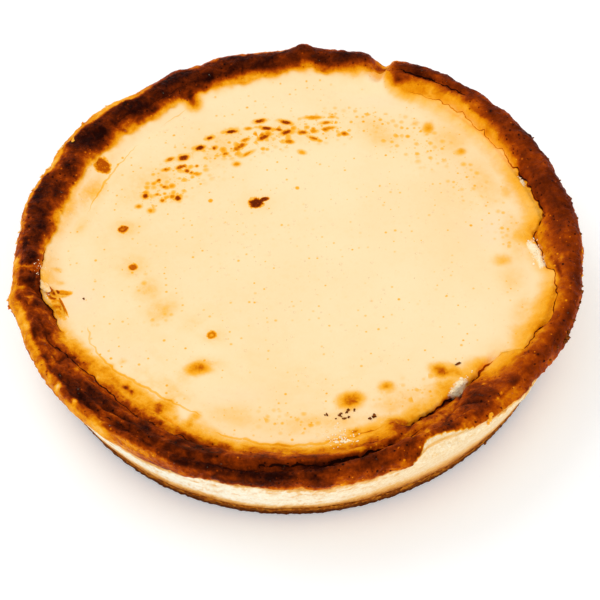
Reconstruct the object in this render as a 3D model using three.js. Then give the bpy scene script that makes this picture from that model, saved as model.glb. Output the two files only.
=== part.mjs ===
// A round baked cheesecake, uncut: a thin base of pressed biscuit crumb and, on it, the baked cheese.
// The cheese leans outwards from the base and ends in a raised, browned rim of uneven rolls and folds
// round a flatter, slightly sunken top. Millimetres, +Z up, the origin under the middle of the base.
import * as THREE from 'three';

// Driving dimensions
const FOOT_RADIUS = 122.6;
const BASE_THICKNESS = 8.2;
const BASE_LEAN = 1.8;
const BASE_EDGE_ROUNDING = 1.2;
const LAYER_GAP = 0.3;
const SHOULDER_RADIUS = 132.6;
const SHOULDER_HEIGHT = 34.5;
const UNDER_LIP_HEIGHT = 36.5;
const RIM_RADIUS = 134.4;
const RIM_HEIGHT = 39.5;
const CREST_RADIUS = 127.5;
const CREST_HEIGHT = 45.4;
const SLOPE_FOOT_RADIUS = 110;
const TOP_HEIGHT = 37.4;
const CENTRE_DIP = 0.9;
const CENTRE_DIP_REACH = 66;

// Inside these radii the underside and the top are smooth
const SMOOTH_UNDERSIDE_RADIUS = 112;
const SMOOTH_TOP_RADIUS = 100;

// Steps of the meshes
const SEGMENTS = 160;
const SIDE_STEPS = 5;
const LIP_STEPS = 3;
const CROWN_STEPS = 4;
const SLOPE_STEPS = 11;
const TOP_RINGS = [SLOPE_FOOT_RADIUS, 105, 97, 82, 62, 36, 0];
const UNDERSIDE_RINGS = [0, 70, SMOOTH_UNDERSIDE_RADIUS];
const BASE_SIDE_STEPS = 2;

// Broad swells of the rim: azimuth and reach in degrees, how far out and how far up
const SWELLS = [
  { at: 314, reach: 4, out: 1.3, up: 0 },
  { at: 322, reach: 4, out: -0.9, up: 0 },
  { at: 332, reach: 3, out: 0.5, up: 0 },
  { at: 344, reach: 12, out: 2.3, up: 0 },
  { at: 351, reach: 3, out: -1.6, up: 0 },
  { at: 12, reach: 5, out: -0.7, up: 0 },
  { at: 24, reach: 9, out: -0.5, up: -0.8 },
  { at: 33, reach: 6, out: 0.9, up: 0 },
  { at: 46, reach: 7, out: 1.1, up: -0.2 },
  { at: 62, reach: 4, out: -0.7, up: 0 },
  { at: 73, reach: 6, out: -1.2, up: 0 },
  { at: 79, reach: 3, out: -0.7, up: 0 },
  { at: 85.8, reach: 2.6, out: 0.8, up: 3 },
  { at: 91, reach: 5, out: -0.8, up: 0.9 },
  { at: 99, reach: 4, out: 0.5, up: 0 },
  { at: 110, reach: 24, out: -1.8, up: 0.2 },
  { at: 116, reach: 3, out: 1.1, up: 0 },
  { at: 124, reach: 6, out: -1.4, up: 0 },
  { at: 137, reach: 4, out: 1.2, up: 0 },
  { at: 146, reach: 7, out: 2, up: 0.2 },
  { at: 152, reach: 5, out: -1.5, up: 0 },
  { at: 173, reach: 10, out: -1.3, up: 0.3 },
  { at: 190, reach: 3, out: 2.6, up: -0.6 },
  { at: 205, reach: 5, out: 1.5, up: -0.4 },
  { at: 224, reach: 8, out: 0.6, up: -0.3 },
  { at: 296, reach: 5, out: 1.2, up: 0.8 },
];

// Where the slope up to the rim starts nearer the middle (below zero) or further out
const SLOPE_FOOT_SHIFTS = [
  { at: 142, reach: 30, out: -6 },
  { at: 20, reach: 40, out: 3.5 },
  { at: 268, reach: 22, out: 2 },
];

// Where the crest is a thin lip near the outer edge, with a long slope inside it
const CREST_SHIFTS = [{ at: 226, reach: 34, out: 3.8 }];

// Where the foot of the side stands out, at the front
const FOOT_SWELLS = [{ at: 256, reach: 42, out: 1.7 }];

// Waves that close after one turn: how many in a turn, the height of one, its phase in degrees
const RIM_LUMPS = [
  { count: 7, size: 0.35, phase: 23 },
  { count: 13, size: 0.3, phase: 120 },
  { count: 23, size: 0.25, phase: 252 },
  { count: 41, size: 0.2, phase: 69 },
];
const SEAM_WAVES = [
  { count: 5, size: 0.35, phase: 57 },
  { count: 17, size: 0.25, phase: 183 },
  { count: 37, size: 0.2, phase: 292 },
];
const FOLD_WANDER = [
  { count: 11, size: 0.3, phase: 40 },
  { count: 19, size: 0.25, phase: 166 },
];

// Folds, crevices and cracks that run round the rim from one azimuth to another, with the radius at
// each end. The cheese is lower there by the depth, and the width is how far that reaches on each side.
const FOLDS = [
  { from: 246, to: 276, radiusFrom: 129.6, radiusTo: 127, depth: 4, width: 2 },
  { from: 269, to: 299, radiusFrom: 127.8, radiusTo: 120.4, depth: 4.2, width: 2 },
  { from: 202, to: 262, radiusFrom: 117.4, radiusTo: 118.4, depth: 2.2, width: 1.8 },
  { from: 197, to: 252, radiusFrom: 124.6, radiusTo: 123.6, depth: 1.6, width: 1.8 },
  { from: 200, to: 256, radiusFrom: 128.4, radiusTo: 129.4, depth: 3, width: 2 },
  { from: 262, to: 290, radiusFrom: 118.4, radiusTo: 119.4, depth: 1.2, width: 1.8 },
  { from: 290, to: 323, radiusFrom: 114, radiusTo: 110.8, depth: 2.8, width: 1.6 },
  { from: 322, to: 348, radiusFrom: 122.6, radiusTo: 123.2, depth: 2.4, width: 1.6 },
  { from: 345, to: 364, radiusFrom: 121, radiusTo: 113.6, depth: 1.8, width: 1.6 },
  { from: 362, to: 418, radiusFrom: 118.8, radiusTo: 118.6, depth: 2.2, width: 1.6 },
  { from: 44, to: 66, radiusFrom: 126.4, radiusTo: 126, depth: 1.4, width: 1.4 },
  { from: 184, to: 203, radiusFrom: 123, radiusTo: 116, depth: 2.6, width: 2.4 },
  { from: 111, to: 174, radiusFrom: 108, radiusTo: 106.5, depth: 0.9, width: 3.2 },
];

// The notch where the rim has parted down to the level of the top, with a steep side and a ramp
const NOTCH = { at: 67.1, steepReach: 1.6, rampReach: 2.6, depth: 8.2, radiusFrom: 116, radiusTo: 124 };

// The ledge at the front where the browned skin has lifted off the side
const LEDGE = { from: 289, to: 312, height: 38.5, reach: 2.4, depth: 1.8 };

// Crumbly side of the biscuit: the furthest that a crumb stands out or is missing
const CRUMB_RELIEF = 0.55;
const CRUMB_SEED = 20417;

const FULL_TURN = 360;
const FIRST_AZIMUTH = -90;
const { lerp, smoothstep, clamp, degToRad, euclideanModulo } = THREE.MathUtils;

const hump = (distance, reach) => Math.exp(-((distance / reach) ** 2));
const turnFrom = (start, azimuth) => euclideanModulo(azimuth - start, FULL_TURN);
const turnBeside = (centre, azimuth) => turnFrom(centre - FULL_TURN / 2, azimuth) - FULL_TURN / 2;

function waveSum(waves, azimuth) {
  return waves.reduce((sum, w) => sum + w.size * Math.sin(degToRad(w.count * azimuth + w.phase)), 0);
}

function swellSum(swells, way, azimuth) {
  return swells.reduce((sum, s) => sum + s[way] * hump(turnBeside(s.at, azimuth), s.reach), 0);
}

// How far the rim stands out and up at an azimuth, past its driving dimensions, and the foot out
const rimOut = (azimuth) => swellSum(SWELLS, 'out', azimuth) + waveSum(RIM_LUMPS, azimuth);
const rimUp = (azimuth) => swellSum(SWELLS, 'up', azimuth) + waveSum(RIM_LUMPS, azimuth + FULL_TURN / 4);
const footOut = (azimuth) => swellSum(FOOT_SWELLS, 'out', azimuth);

function foldDepth(radius, azimuth) {
  let deepest = 0;
  for (const fold of FOLDS) {
    const along = turnFrom(fold.from, azimuth) / (fold.to - fold.from);
    if (along < 1) {
      const line = lerp(fold.radiusFrom, fold.radiusTo, along) + waveSum(FOLD_WANDER, azimuth);
      const ends = Math.sqrt(Math.sin(Math.PI * along));
      deepest = Math.max(deepest, fold.depth * ends * hump(radius - line, fold.width));
    }
  }
  return deepest;
}

function notchDepth(radius, azimuth) {
  const turn = turnBeside(NOTCH.at, azimuth);
  const reach = turn < 0 ? NOTCH.steepReach : NOTCH.rampReach;
  return NOTCH.depth * hump(turn, reach) * smoothstep(radius, NOTCH.radiusFrom, NOTCH.radiusTo);
}

// The share of the notch's depth that a point of the outer side or the crown sinks by
const notchLift = (height) => clamp((height - SHOULDER_HEIGHT) / (CREST_HEIGHT - SHOULDER_HEIGHT), 0, 1);

function ledgeDepth(height, azimuth) {
  const along = turnFrom(LEDGE.from, azimuth) / (LEDGE.to - LEDGE.from);
  if (along >= 1) return 0;
  return LEDGE.depth * Math.sin(Math.PI * along) * hump(height - LEDGE.height, LEDGE.reach);
}

// The line at the side where biscuit and cheese meet, above or below the thickness of the base
function seamWave(radius, azimuth) {
  return waveSum(SEAM_WAVES, azimuth) * smoothstep(radius, SMOOTH_UNDERSIDE_RADIUS, FOOT_RADIUS);
}

// Height of the top at a radius: the dipped middle, then the slope up to the rim's crest
function topHeight(radius, azimuth) {
  const middle = TOP_HEIGHT - CENTRE_DIP * hump(radius, CENTRE_DIP_REACH);
  const crest = CREST_HEIGHT + rimUp(azimuth);
  const slopeFoot = SLOPE_FOOT_RADIUS + swellSum(SLOPE_FOOT_SHIFTS, 'out', azimuth);
  const slopeTop = CREST_RADIUS + swellSum(CREST_SHIFTS, 'out', azimuth);
  return lerp(middle, crest, smoothstep(radius, slopeFoot, slopeTop));
}

// Where a point of a ring goes at an azimuth, as radius and height, for each stretch of the section.
// seamFace serves both layers: it is the top of the biscuit and the underside of the cheese.
function seamFace(radius, height, azimuth) {
  const out = footOut(azimuth) * smoothstep(radius, SMOOTH_UNDERSIDE_RADIUS, FOOT_RADIUS);
  return [radius + out, height + seamWave(radius, azimuth)];
}

function side(radius, height, azimuth) {
  const climb = clamp((height - BASE_THICKNESS) / (RIM_HEIGHT - BASE_THICKNESS), 0, 1);
  const out = lerp(footOut(azimuth), rimOut(azimuth), climb) - ledgeDepth(height, azimuth);
  const sunk = notchDepth(radius, azimuth) * notchLift(height);
  return [radius + out, height + seamWave(radius, azimuth) * (1 - climb) - sunk];
}

function crown(radius, height, azimuth) {
  const lift = (height - RIM_HEIGHT) / (CREST_HEIGHT - RIM_HEIGHT);
  const raised = (rimUp(azimuth) - foldDepth(radius, azimuth)) * lift;
  return [radius + rimOut(azimuth), height + raised - notchDepth(radius, azimuth) * notchLift(height)];
}

function top(radius, height, azimuth) {
  const out = rimOut(azimuth) * smoothstep(radius, SMOOTH_TOP_RADIUS, CREST_RADIUS);
  const hollow = foldDepth(radius, azimuth) + notchDepth(radius, azimuth);
  return [radius + out, topHeight(radius, azimuth) - hollow];
}

// Rings along a stretch of the section, without its last point, which the next stretch starts with
function ringsAlong(curve, steps, place) {
  return curve.getPoints(steps).slice(0, -1).map(({ x, y }) => ({ radius: x, height: y, place }));
}

function cheeseRings() {
  const seam = new THREE.Vector2(FOOT_RADIUS + BASE_LEAN, BASE_THICKNESS + LAYER_GAP);
  const shoulder = new THREE.Vector2(SHOULDER_RADIUS, SHOULDER_HEIGHT);
  const underLip = new THREE.Vector2(RIM_RADIUS, UNDER_LIP_HEIGHT);
  const widest = new THREE.Vector2(RIM_RADIUS, RIM_HEIGHT);
  const overLip = new THREE.Vector2(RIM_RADIUS, CREST_HEIGHT);
  const crest = new THREE.Vector2(CREST_RADIUS, CREST_HEIGHT);
  const slopeFoot = new THREE.Vector2(SLOPE_FOOT_RADIUS, TOP_HEIGHT);
  return [
    ...UNDERSIDE_RINGS.map((radius) => ({ radius, height: seam.y, place: seamFace })),
    ...ringsAlong(new THREE.LineCurve(seam, shoulder), SIDE_STEPS, side),
    ...ringsAlong(new THREE.QuadraticBezierCurve(shoulder, underLip, widest), LIP_STEPS, side),
    ...ringsAlong(new THREE.QuadraticBezierCurve(widest, overLip, crest), CROWN_STEPS, crown),
    ...ringsAlong(new THREE.LineCurve(crest, slopeFoot), SLOPE_STEPS, top),
    ...TOP_RINGS.map((radius) => ({ radius, height: TOP_HEIGHT, place: top })),
  ];
}

// Draws from 0 to 1, the same each time: a linear congruential series
const SERIES = { factor: 1664525, step: 1013904223, length: 2 ** 32 };

function drawsFrom(seed) {
  let state = seed;
  return () => {
    state = (state * SERIES.factor + SERIES.step) % SERIES.length;
    return state / SERIES.length;
  };
}

function biscuitRings() {
  const draw = drawsFrom(CRUMB_SEED);
  const foot = new THREE.Vector2(FOOT_RADIUS, BASE_EDGE_ROUNDING);
  const edge = new THREE.Vector2(FOOT_RADIUS + BASE_LEAN, BASE_THICKNESS - BASE_EDGE_ROUNDING);
  const flat = (radius, height) => [radius, height];
  // each ring of the side has crumbs of its own
  const crumbly = () => {
    const crumbs = Array.from({ length: SEGMENTS }, () => lerp(-CRUMB_RELIEF, CRUMB_RELIEF, draw()));
    return (radius, height, azimuth, segment) => [radius + footOut(azimuth) + crumbs[segment], height];
  };
  const sideRings = new THREE.LineCurve(foot, edge).getPoints(BASE_SIDE_STEPS);
  return [
    ...UNDERSIDE_RINGS.map((radius) => ({ radius, height: 0, place: flat })),
    { radius: foot.x - BASE_EDGE_ROUNDING, height: 0, place: crumbly() },
    ...sideRings.map(({ x, y }) => ({ radius: x, height: y, place: crumbly() })),
    { radius: edge.x - BASE_EDGE_ROUNDING, height: BASE_THICKNESS, place: seamFace },
    ...UNDERSIDE_RINGS.toReversed().map((radius) => ({ radius, height: BASE_THICKNESS, place: seamFace })),
  ];
}

// Spins the rings round the upright axis, then moves each point to where its ring says
function spin(name, rings, material) {
  const profile = rings.map(({ radius, height }) => new THREE.Vector2(radius, height));
  const geometry = new THREE.LatheGeometry(profile, SEGMENTS);
  const position = geometry.getAttribute('position');
  for (let i = 0; i < position.count; i += 1) {
    const { radius, height, place } = rings[i % rings.length];
    const segment = Math.floor(i / rings.length) % SEGMENTS;
    const azimuth = FIRST_AZIMUTH + (segment / SEGMENTS) * FULL_TURN;
    const [out, up] = place(radius, height, azimuth, segment);
    const angle = degToRad(azimuth);
    position.setXYZ(i, out * Math.cos(angle), out * Math.sin(angle), up);
  }
  geometry.computeVertexNormals();
  const mesh = new THREE.Mesh(geometry, material);
  mesh.name = name;
  return mesh;
}

const biscuit = new THREE.MeshStandardMaterial({ color: 0x8a5430, roughness: 0.9, metalness: 0 });
const bakedCheese = new THREE.MeshStandardMaterial({ color: 0xf4d9a4, roughness: 0.55, metalness: 0 });

const cheesecake = new THREE.Group();
cheesecake.add(spin('biscuit_base', biscuitRings(), biscuit));
cheesecake.add(spin('baked_cheese', cheeseRings(), bakedCheese));

export default cheesecake;
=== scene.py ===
"""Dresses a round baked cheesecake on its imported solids.

The cheese is one piece: cream at the side, browned and folded at the rim, pale and spotted on top.
The biscuit base, the white curd in the cracks, flakes of skin and loose crumbs are pieces of their own.
Shapes are worked out in millimetres and degrees, as in the solids, and become metres in the mesh.
"""

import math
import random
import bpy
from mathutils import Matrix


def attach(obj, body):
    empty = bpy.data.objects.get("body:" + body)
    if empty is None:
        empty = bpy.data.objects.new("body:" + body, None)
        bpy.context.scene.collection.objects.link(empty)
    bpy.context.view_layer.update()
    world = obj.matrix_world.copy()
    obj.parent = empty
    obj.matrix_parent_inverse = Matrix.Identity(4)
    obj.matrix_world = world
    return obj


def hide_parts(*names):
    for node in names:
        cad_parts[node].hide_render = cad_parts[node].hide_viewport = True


bl_info = {
    "name": "Baked cheesecake",
    "version": (1, 0, 0),
    "blender": (4, 5, 0),
    "location": "3D View > Sidebar > Cheesecake",
    "description": "Dresses the packed solids of a baked cheesecake",
    "category": "Object",
}

import bmesh
import bpy
import numpy as np
from bpy.props import FloatProperty, FloatVectorProperty, PointerProperty
from mathutils import Matrix, Vector, noise
from mathutils.bvhtree import BVHTree

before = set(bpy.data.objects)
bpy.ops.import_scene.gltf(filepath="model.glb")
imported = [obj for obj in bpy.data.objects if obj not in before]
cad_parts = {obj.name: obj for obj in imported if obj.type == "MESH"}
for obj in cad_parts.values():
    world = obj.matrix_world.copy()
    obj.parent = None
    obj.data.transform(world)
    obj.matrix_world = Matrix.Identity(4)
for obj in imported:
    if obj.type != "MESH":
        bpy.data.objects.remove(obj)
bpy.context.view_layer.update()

MM = 0.001
FULL_TURN = 360.0
FIRST_AZIMUTH = -90.0

# Driving dimensions of the solids
FOOT_RADIUS = 122.6
BASE_THICKNESS = 8.2
BASE_LEAN = 1.8
BASE_EDGE_ROUNDING = 1.2
LAYER_GAP = 0.3
SHOULDER_RADIUS = 132.6
SHOULDER_HEIGHT = 34.5
UNDER_LIP_HEIGHT = 36.5
RIM_RADIUS = 134.4
RIM_HEIGHT = 39.5
CREST_RADIUS = 127.5
CREST_HEIGHT = 45.4
SLOPE_FOOT_RADIUS = 110.0
TOP_HEIGHT = 37.4
CENTRE_DIP = 0.9
CENTRE_DIP_REACH = 66.0
SMOOTH_UNDERSIDE_RADIUS = 112.0
SMOOTH_TOP_RADIUS = 100.0

# Broad swells of the rim: azimuth, reach, how far out and how far up
SWELLS = (
    (314, 4, 1.3, 0),
    (322, 4, -0.9, 0),
    (332, 3, 0.5, 0),
    (344, 12, 2.3, 0),
    (351, 3, -1.6, 0),
    (12, 5, -0.7, 0),
    (24, 9, -0.5, -0.8),
    (33, 6, 0.9, 0),
    (46, 7, 1.1, -0.2),
    (62, 4, -0.7, 0),
    (73, 6, -1.2, 0),
    (79, 3, -0.7, 0),
    (85.8, 2.6, 0.8, 3),
    (91, 5, -0.8, 0.9),
    (99, 4, 0.5, 0),
    (110, 24, -1.8, 0.2),
    (116, 3, 1.1, 0),
    (124, 6, -1.4, 0),
    (137, 4, 1.2, 0),
    (146, 7, 2, 0.2),
    (152, 5, -1.5, 0),
    (173, 10, -1.3, 0.3),
    (190, 3, 2.6, -0.6),
    (205, 5, 1.5, -0.4),
    (224, 8, 0.6, -0.3),
    (296, 5, 1.2, 0.8),
)

# Azimuth, reach and how far out
SLOPE_FOOT_SHIFTS = ((142, 30, -6), (20, 40, 3.5), (268, 22, 2))
CREST_SHIFTS = ((226, 34, 3.8),)
FOOT_SWELLS = ((256, 42, 1.7),)

# Waves that close after one turn: how many in a turn, the height of one, its phase
RIM_LUMPS = ((7, 0.35, 23), (13, 0.3, 120), (23, 0.25, 252), (41, 0.2, 69))
SEAM_WAVES = ((5, 0.35, 57), (17, 0.25, 183), (37, 0.2, 292))
FOLD_WANDER = ((11, 0.3, 40), (19, 0.25, 166))

# Folds round the rim: azimuth from and to, radius at each end, depth and width
FOLDS = (
    (246, 276, 129.6, 127, 4, 2),
    (269, 299, 127.8, 120.4, 4.2, 2),
    (202, 262, 117.4, 118.4, 2.2, 1.8),
    (197, 252, 124.6, 123.6, 1.6, 1.8),
    (200, 256, 128.4, 129.4, 3, 2),
    (262, 290, 118.4, 119.4, 1.2, 1.8),
    (290, 323, 114, 110.8, 2.8, 1.6),
    (322, 348, 122.6, 123.2, 2.4, 1.6),
    (345, 364, 121, 113.6, 1.8, 1.6),
    (362, 418, 118.8, 118.6, 2.2, 1.6),
    (44, 66, 126.4, 126, 1.4, 1.4),
    (184, 203, 123, 116, 2.6, 2.4),
    (111, 174, 108, 106.5, 0.9, 3.2),
)

# The notch where the rim has parted: azimuth, reach on its steep and ramp sides, depth and radii
NOTCH_AT = 67.1
NOTCH_STEEP_REACH = 1.6
NOTCH_RAMP_REACH = 2.6
NOTCH_DEPTH = 8.2
NOTCH_FROM = 116.0
NOTCH_TO = 124.0

# The ledge at the front where the browned skin has lifted off the side
LEDGE_FROM = 289.0
LEDGE_TO = 312.0
LEDGE_HEIGHT = 38.5
LEDGE_REACH = 2.4
LEDGE_DEPTH = 1.8

# Meshes: steps round the rim, the middle and the centre, and rings along each stretch of the section.
# A section is spun through one sector, which is then doubled until it closes.
SECTORS = 8
RIM_STEPS = 1000
MIDDLE_STEPS = 400
CENTRE_STEPS = 128
MERGE_DISTANCE = 1e-3
SIDE_RINGS = 14
LIP_RINGS = 9
CROWN_RINGS = 13
SLOPE_RINGS = 24
INNER_SLOPE_RINGS = 9
EDGE_RING = 16
EDGE_CROWDING = 1.25
OUTERMOST_EDGE = 124.0
RIM_MESH_RADIUS = 103.0
CENTRE_MESH_RADIUS = 40.0
MIDDLE_RING = 2.6
INNER_RINGS = 9
CENTRE_RINGS = 14
UNDERSIDE_MESH_RADIUS = 70.0

# The gap left between two meshes, which is then bridged, and how far off its place a ring may be
MESH_GAP = 2.0
MARGIN = 1.0

# The part of the top that is strewn with freckles: radii and azimuths. Its mesh is finer.
FRECKLED_FROM = 62.0
FRECKLED_TO = 91.0
FRECKLED_START = 66.0
FRECKLED_END = 158.0
FRECKLED_RING = 1.25

# Small waves of every line of the rim
LINE_WAVES = ((53, 0.25, 10), (97, 0.18, 200), (151, 0.14, 80))

# The line where the pale skin ends, as azimuth and radius, which opens as a crack in places
EDGE = {
    0: 113.4, 2: 114.2, 3.4: 117.2, 5: 119.4, 8: 119.2, 12: 119.4, 18: 118.9, 24: 118.2, 27: 118.8, 30: 118.4,
    36: 119, 44: 119.2, 50: 119.2, 55: 118, 59: 117, 62.5: 117.6, 64.6: 121, 66: 127, 68: 126, 70: 121.6,
    75: 119.4, 80: 119, 83: 119.6, 88: 117.6, 92: 118, 97: 115.7, 101: 115.6, 106: 115.6, 112: 116,
    115: 115.3, 120: 115.2, 130: 113.8, 140: 113.6, 150: 115.2, 156: 116, 164: 115.4, 170: 116.2, 175: 118.8,
    180: 119.8, 184: 120.4, 188: 120.6, 190: 119.8, 193: 118.2, 201: 117, 205: 114.6, 210: 112.6, 216: 111.6,
    226: 110.8, 233: 111.2, 240: 113, 246: 113.4, 252: 114.4, 266: 114, 276: 113.2, 286: 113, 290: 112.4,
    293: 114, 297: 112.9, 302: 112.3, 306: 111.7, 309: 112.4, 311: 112.2, 314: 110.9, 318: 110.9, 321: 111.6,
    323: 114, 324.5: 122.4, 327: 121.8, 330: 122, 332: 122.8, 335: 124.2, 340: 123.8, 344: 122.4, 347: 121.7,
    350: 118.8, 353: 116.4, 356: 115.7,
}
# How far that line gapes, from 0 to 1, by azimuth, and how much painted shade darkens the skin beside the gap
EDGE_OPEN = {
    0: 0.7, 3: 0.9, 6: 1, 10: 0.8, 18: 0.7, 23: 0.45, 28: 0.3, 50: 0.3, 57: 0.2, 60: 0, 176: 0, 179: 0.5,
    184: 0.5, 188: 0.8, 195: 0.49, 199: 0.4, 203: 0, 290: 0, 294: 0.6, 303: 0.68, 306: 0.9, 309: 0.4,
    312: 0.9, 318: 0.7, 322: 0.3, 323.5: 0.1, 327: 0.5, 332: 0.5, 337: 0.6, 350: 0.5, 356: 0.7,
}
EDGE_SHADE = {
    0: 0.06, 6: 0.12, 20: 0.08, 26: 0, 184: 0, 190: 0.14, 198: 0.12, 203: 0, 291: 0, 296: 0.16, 306: 0.2,
    309: 0.04, 313: 0.16, 317: 0, 326: 0.1, 332: 0.08, 345: 0,
}
# Further out: lines in the folds, darkened with painted shade where they gape, and how far they gape
CREVICE = {
    0: 124, 30: 125.6, 46: 126.4, 64: 126, 90: 125, 115: 121, 136: 120.8, 170: 122, 197: 125, 206: 128.8,
    212: 129.4, 218: 129.2, 224: 128.4, 230: 128.5, 236: 129.3, 246: 129.9, 252: 129.6, 256: 128.8,
    260: 127.4, 267: 126.6, 271.5: 126.6, 276: 125.2, 283: 123.6, 286: 122.8, 290: 121.9, 294: 120.4,
    310: 124, 336: 128,
}
CREVICE_OPEN = {
    43: 0, 47: 0.5, 60: 0.55, 65: 0, 112: 0, 118: 0.2, 134: 0.2, 140: 0, 200: 0, 207: 0.6, 214: 0.9, 222: 0.6,
    230: 0.55, 240: 0.8, 252: 0.6, 257: 0.7, 260: 1, 268: 1, 272: 0.6, 275: 1, 284: 1, 288: 0.6, 297: 0,
}
# A thinner line where folds lie inside the others, at the front left and the front
INNER_FOLD = {
    200: 125.2, 204: 123.8, 207: 121, 210: 118.6, 214: 116.6, 221: 116, 226: 116.8, 231: 117.8, 237: 118.4,
    243: 117.6, 248: 118.6, 254: 118.2, 262: 118, 284: 118.6,
}
INNER_FOLD_OPEN = {
    201: 0, 204: 0.7, 214: 0.9, 223: 0.8, 228: 0.3, 235: 0.6, 242: 0.5, 247: 0.9, 254: 0.7, 259: 0.1, 276: 0,
    283: 0.4, 287: 0.4, 289: 0,
}
# The fine golden line where the pale skin starts to wrinkle
GOLDEN_LINE = {
    118: 110.8, 131: 107.6, 141: 105.9, 148: 105.3, 154: 104.9, 163: 104.6, 200: 105, 204: 105.8, 207: 107.6,
    217: 107, 222: 105, 228: 103.4, 240: 103.2, 246: 104, 249: 110.8, 256: 110.6, 260: 112, 270: 112,
    276: 111.2, 290: 110.8,
}
GOLDEN_LINE_OPEN = {
    117: 0, 120: 0.5, 127: 0.15, 134: 0.15, 140: 0.5, 150: 1, 155: 0.7, 160: 0.3, 166: 0, 201: 0, 204: 0.8,
    209: 0.5, 217: 0.8, 226: 1, 240: 0.7, 245: 0, 248: 0, 251: 0.6, 257: 1, 273: 1, 283: 0.6, 290: 0,
}

# Browning, from 0 for pale skin to 1 for charred. Inside the edge: the level beside it and how far it fades.
GOLDEN_LEVEL = {
    0: 0.41, 6: 0.32, 12: 0.32, 20: 0.33, 27: 0.23, 30: 0.25, 50: 0.24, 58: 0.3, 64: 0.26, 68: 0.2, 74: 0.24,
    90: 0.2, 150: 0.16, 164: 0.24, 175: 0.12, 188: 0.26, 197: 0.2, 203: 0.28, 210: 0.34, 218: 0.46,
    225: 0.47, 235: 0.42, 240: 0.36, 250: 0.32, 262: 0.29, 270: 0.29, 276: 0.34, 288: 0.36, 294: 0.36,
    305: 0.42, 312: 0.44, 318: 0.34, 322: 0.06, 325: 0.3, 332: 0.45, 340: 0.44, 346: 0.26, 351: 0.28,
    356: 0.22,
}
GOLDEN_REACH = {
    0: 12, 10: 11, 20: 10.5, 30: 9, 50: 8.5, 60: 5, 68: 4, 80: 1.8, 115: 2.6, 120: 1.6, 150: 3, 162: 5,
    172: 5, 188: 9, 203: 4, 215: 4.4, 226: 6.5, 235: 8, 240: 5, 243: 7.7, 252: 3.8, 262: 2.4, 270: 2.9,
    280: 7, 290: 8.5, 300: 8.5, 307: 10.8, 310: 9, 315: 8.5, 320: 6, 330: 11, 342: 8.6, 347: 7.4, 350: 7,
    355: 9,
}
# Outside it: the level at the edge, the radii at which orange, brown and the darkest level are reached,
# that level, the radius of the lip and its level, and the levels of the bulge and the face below the lip
EDGE_LEVEL = {
    0: 0.46, 3: 0.5, 5: 0.6, 10: 0.64, 20: 0.58, 25: 0.4, 30: 0.32, 40: 0.28, 48: 0.3, 55: 0.42, 60: 0.5,
    64: 0.38, 67: 0.18, 69: 0.36, 72: 0.48, 88: 0.5, 96: 0.42, 99: 0.48, 103: 0.42, 107: 0.51, 110: 0.5,
    125: 0.46, 150: 0.5, 168: 0.5, 175: 0.62, 183: 0.68, 187: 0.64, 191: 0.72, 197: 0.6, 200: 0.5, 204: 0.4,
    245: 0.41, 262: 0.38, 278: 0.36, 283: 0.36, 288: 0.44, 294: 0.54, 306: 0.58, 312: 0.54, 315: 0.44,
    318: 0.24, 322: 0.2, 325: 0.4, 332: 0.5, 342: 0.46, 350: 0.42, 356: 0.42,
}
ORANGE_FROM = {
    0: 115.6, 4: 119.6, 20: 119.4, 25: 119.6, 30: 120.6, 40: 122, 46: 122.4, 52: 120.6, 58: 118.6, 62: 118.6,
    66: 128, 70: 122.4, 75: 120, 88: 118.4, 97: 117.6, 103: 117.2, 112: 117, 125: 115.6, 140: 114.6,
    156: 116.8, 164: 116, 170: 117.4, 176: 119.8, 188: 121.2, 195: 119, 200: 118.2, 205: 116.6, 210: 114.4,
    220: 112.6, 232: 112.8, 240: 114, 252: 115.4, 276: 115.2, 288: 114, 296: 114, 306: 112.8, 312: 113,
    315: 114, 318: 119.4, 322: 121.8, 330: 123.2, 340: 124, 346: 122.2, 352: 118.8, 357: 116.4,
}
BROWN_FROM = {
    0: 118.4, 4: 120.4, 20: 120, 26: 121.2, 32: 122, 40: 123, 47: 124.2, 54: 124, 59: 121.6, 62: 120, 67: 130,
    70: 124, 76: 121.2, 84: 120.6, 88: 119.4, 97: 119.8, 104: 118.4, 112: 117.8, 125: 116.8, 140: 115.8,
    156: 117, 164: 117.2, 172: 119, 180: 122.2, 187: 122.8, 190: 121.8, 196: 119.6, 200: 120, 206: 118.6,
    211: 115.8, 220: 115.8, 232: 115, 235: 116.6, 240: 116, 243: 117, 248: 116.6, 254: 117.6,
    270: 121.6, 276: 123.2, 284: 123.4, 292: 121.4, 298: 119, 306: 116, 312: 115.4, 315: 121, 322: 126,
    330: 127.4, 338: 126.6, 346: 124, 352: 121.4, 357: 119.4,
}
DARK_FROM = {
    0: 122.4, 10: 122.6, 20: 123.2, 28: 124, 44: 128, 52: 127.4, 60: 126, 63: 125, 67: 132, 71: 127,
    78: 124.4, 88: 122, 98: 122, 106: 120.8, 120: 121, 130: 121.4, 145: 121, 160: 121.6, 170: 123, 180: 124,
    190: 123.8, 198: 122.6, 206: 122.5, 214: 120.5, 222: 120.6, 230: 121, 246: 122.6, 256: 124.6, 266: 127.6,
    276: 128, 286: 127.4, 292: 126.6, 302: 123, 308: 120.6, 316: 128.5, 330: 131.5, 342: 130, 350: 127,
    356: 124.4,
}
DARK_LEVEL = {
    0: 0.78, 11: 0.77, 19: 0.76, 35: 0.79, 46: 0.77, 52: 0.68, 60: 0.86, 66: 0.5, 71: 0.8, 75: 0.87, 99: 0.86,
    115: 0.9, 131: 0.92, 147: 0.86, 171: 0.83, 187: 0.8, 203: 0.67, 212: 0.78, 220: 0.81, 235: 0.78,
    243: 0.75, 251: 0.84, 275: 0.78, 291: 0.7, 307: 0.72, 315: 0.72, 331: 0.73, 345: 0.74,
}
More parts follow.
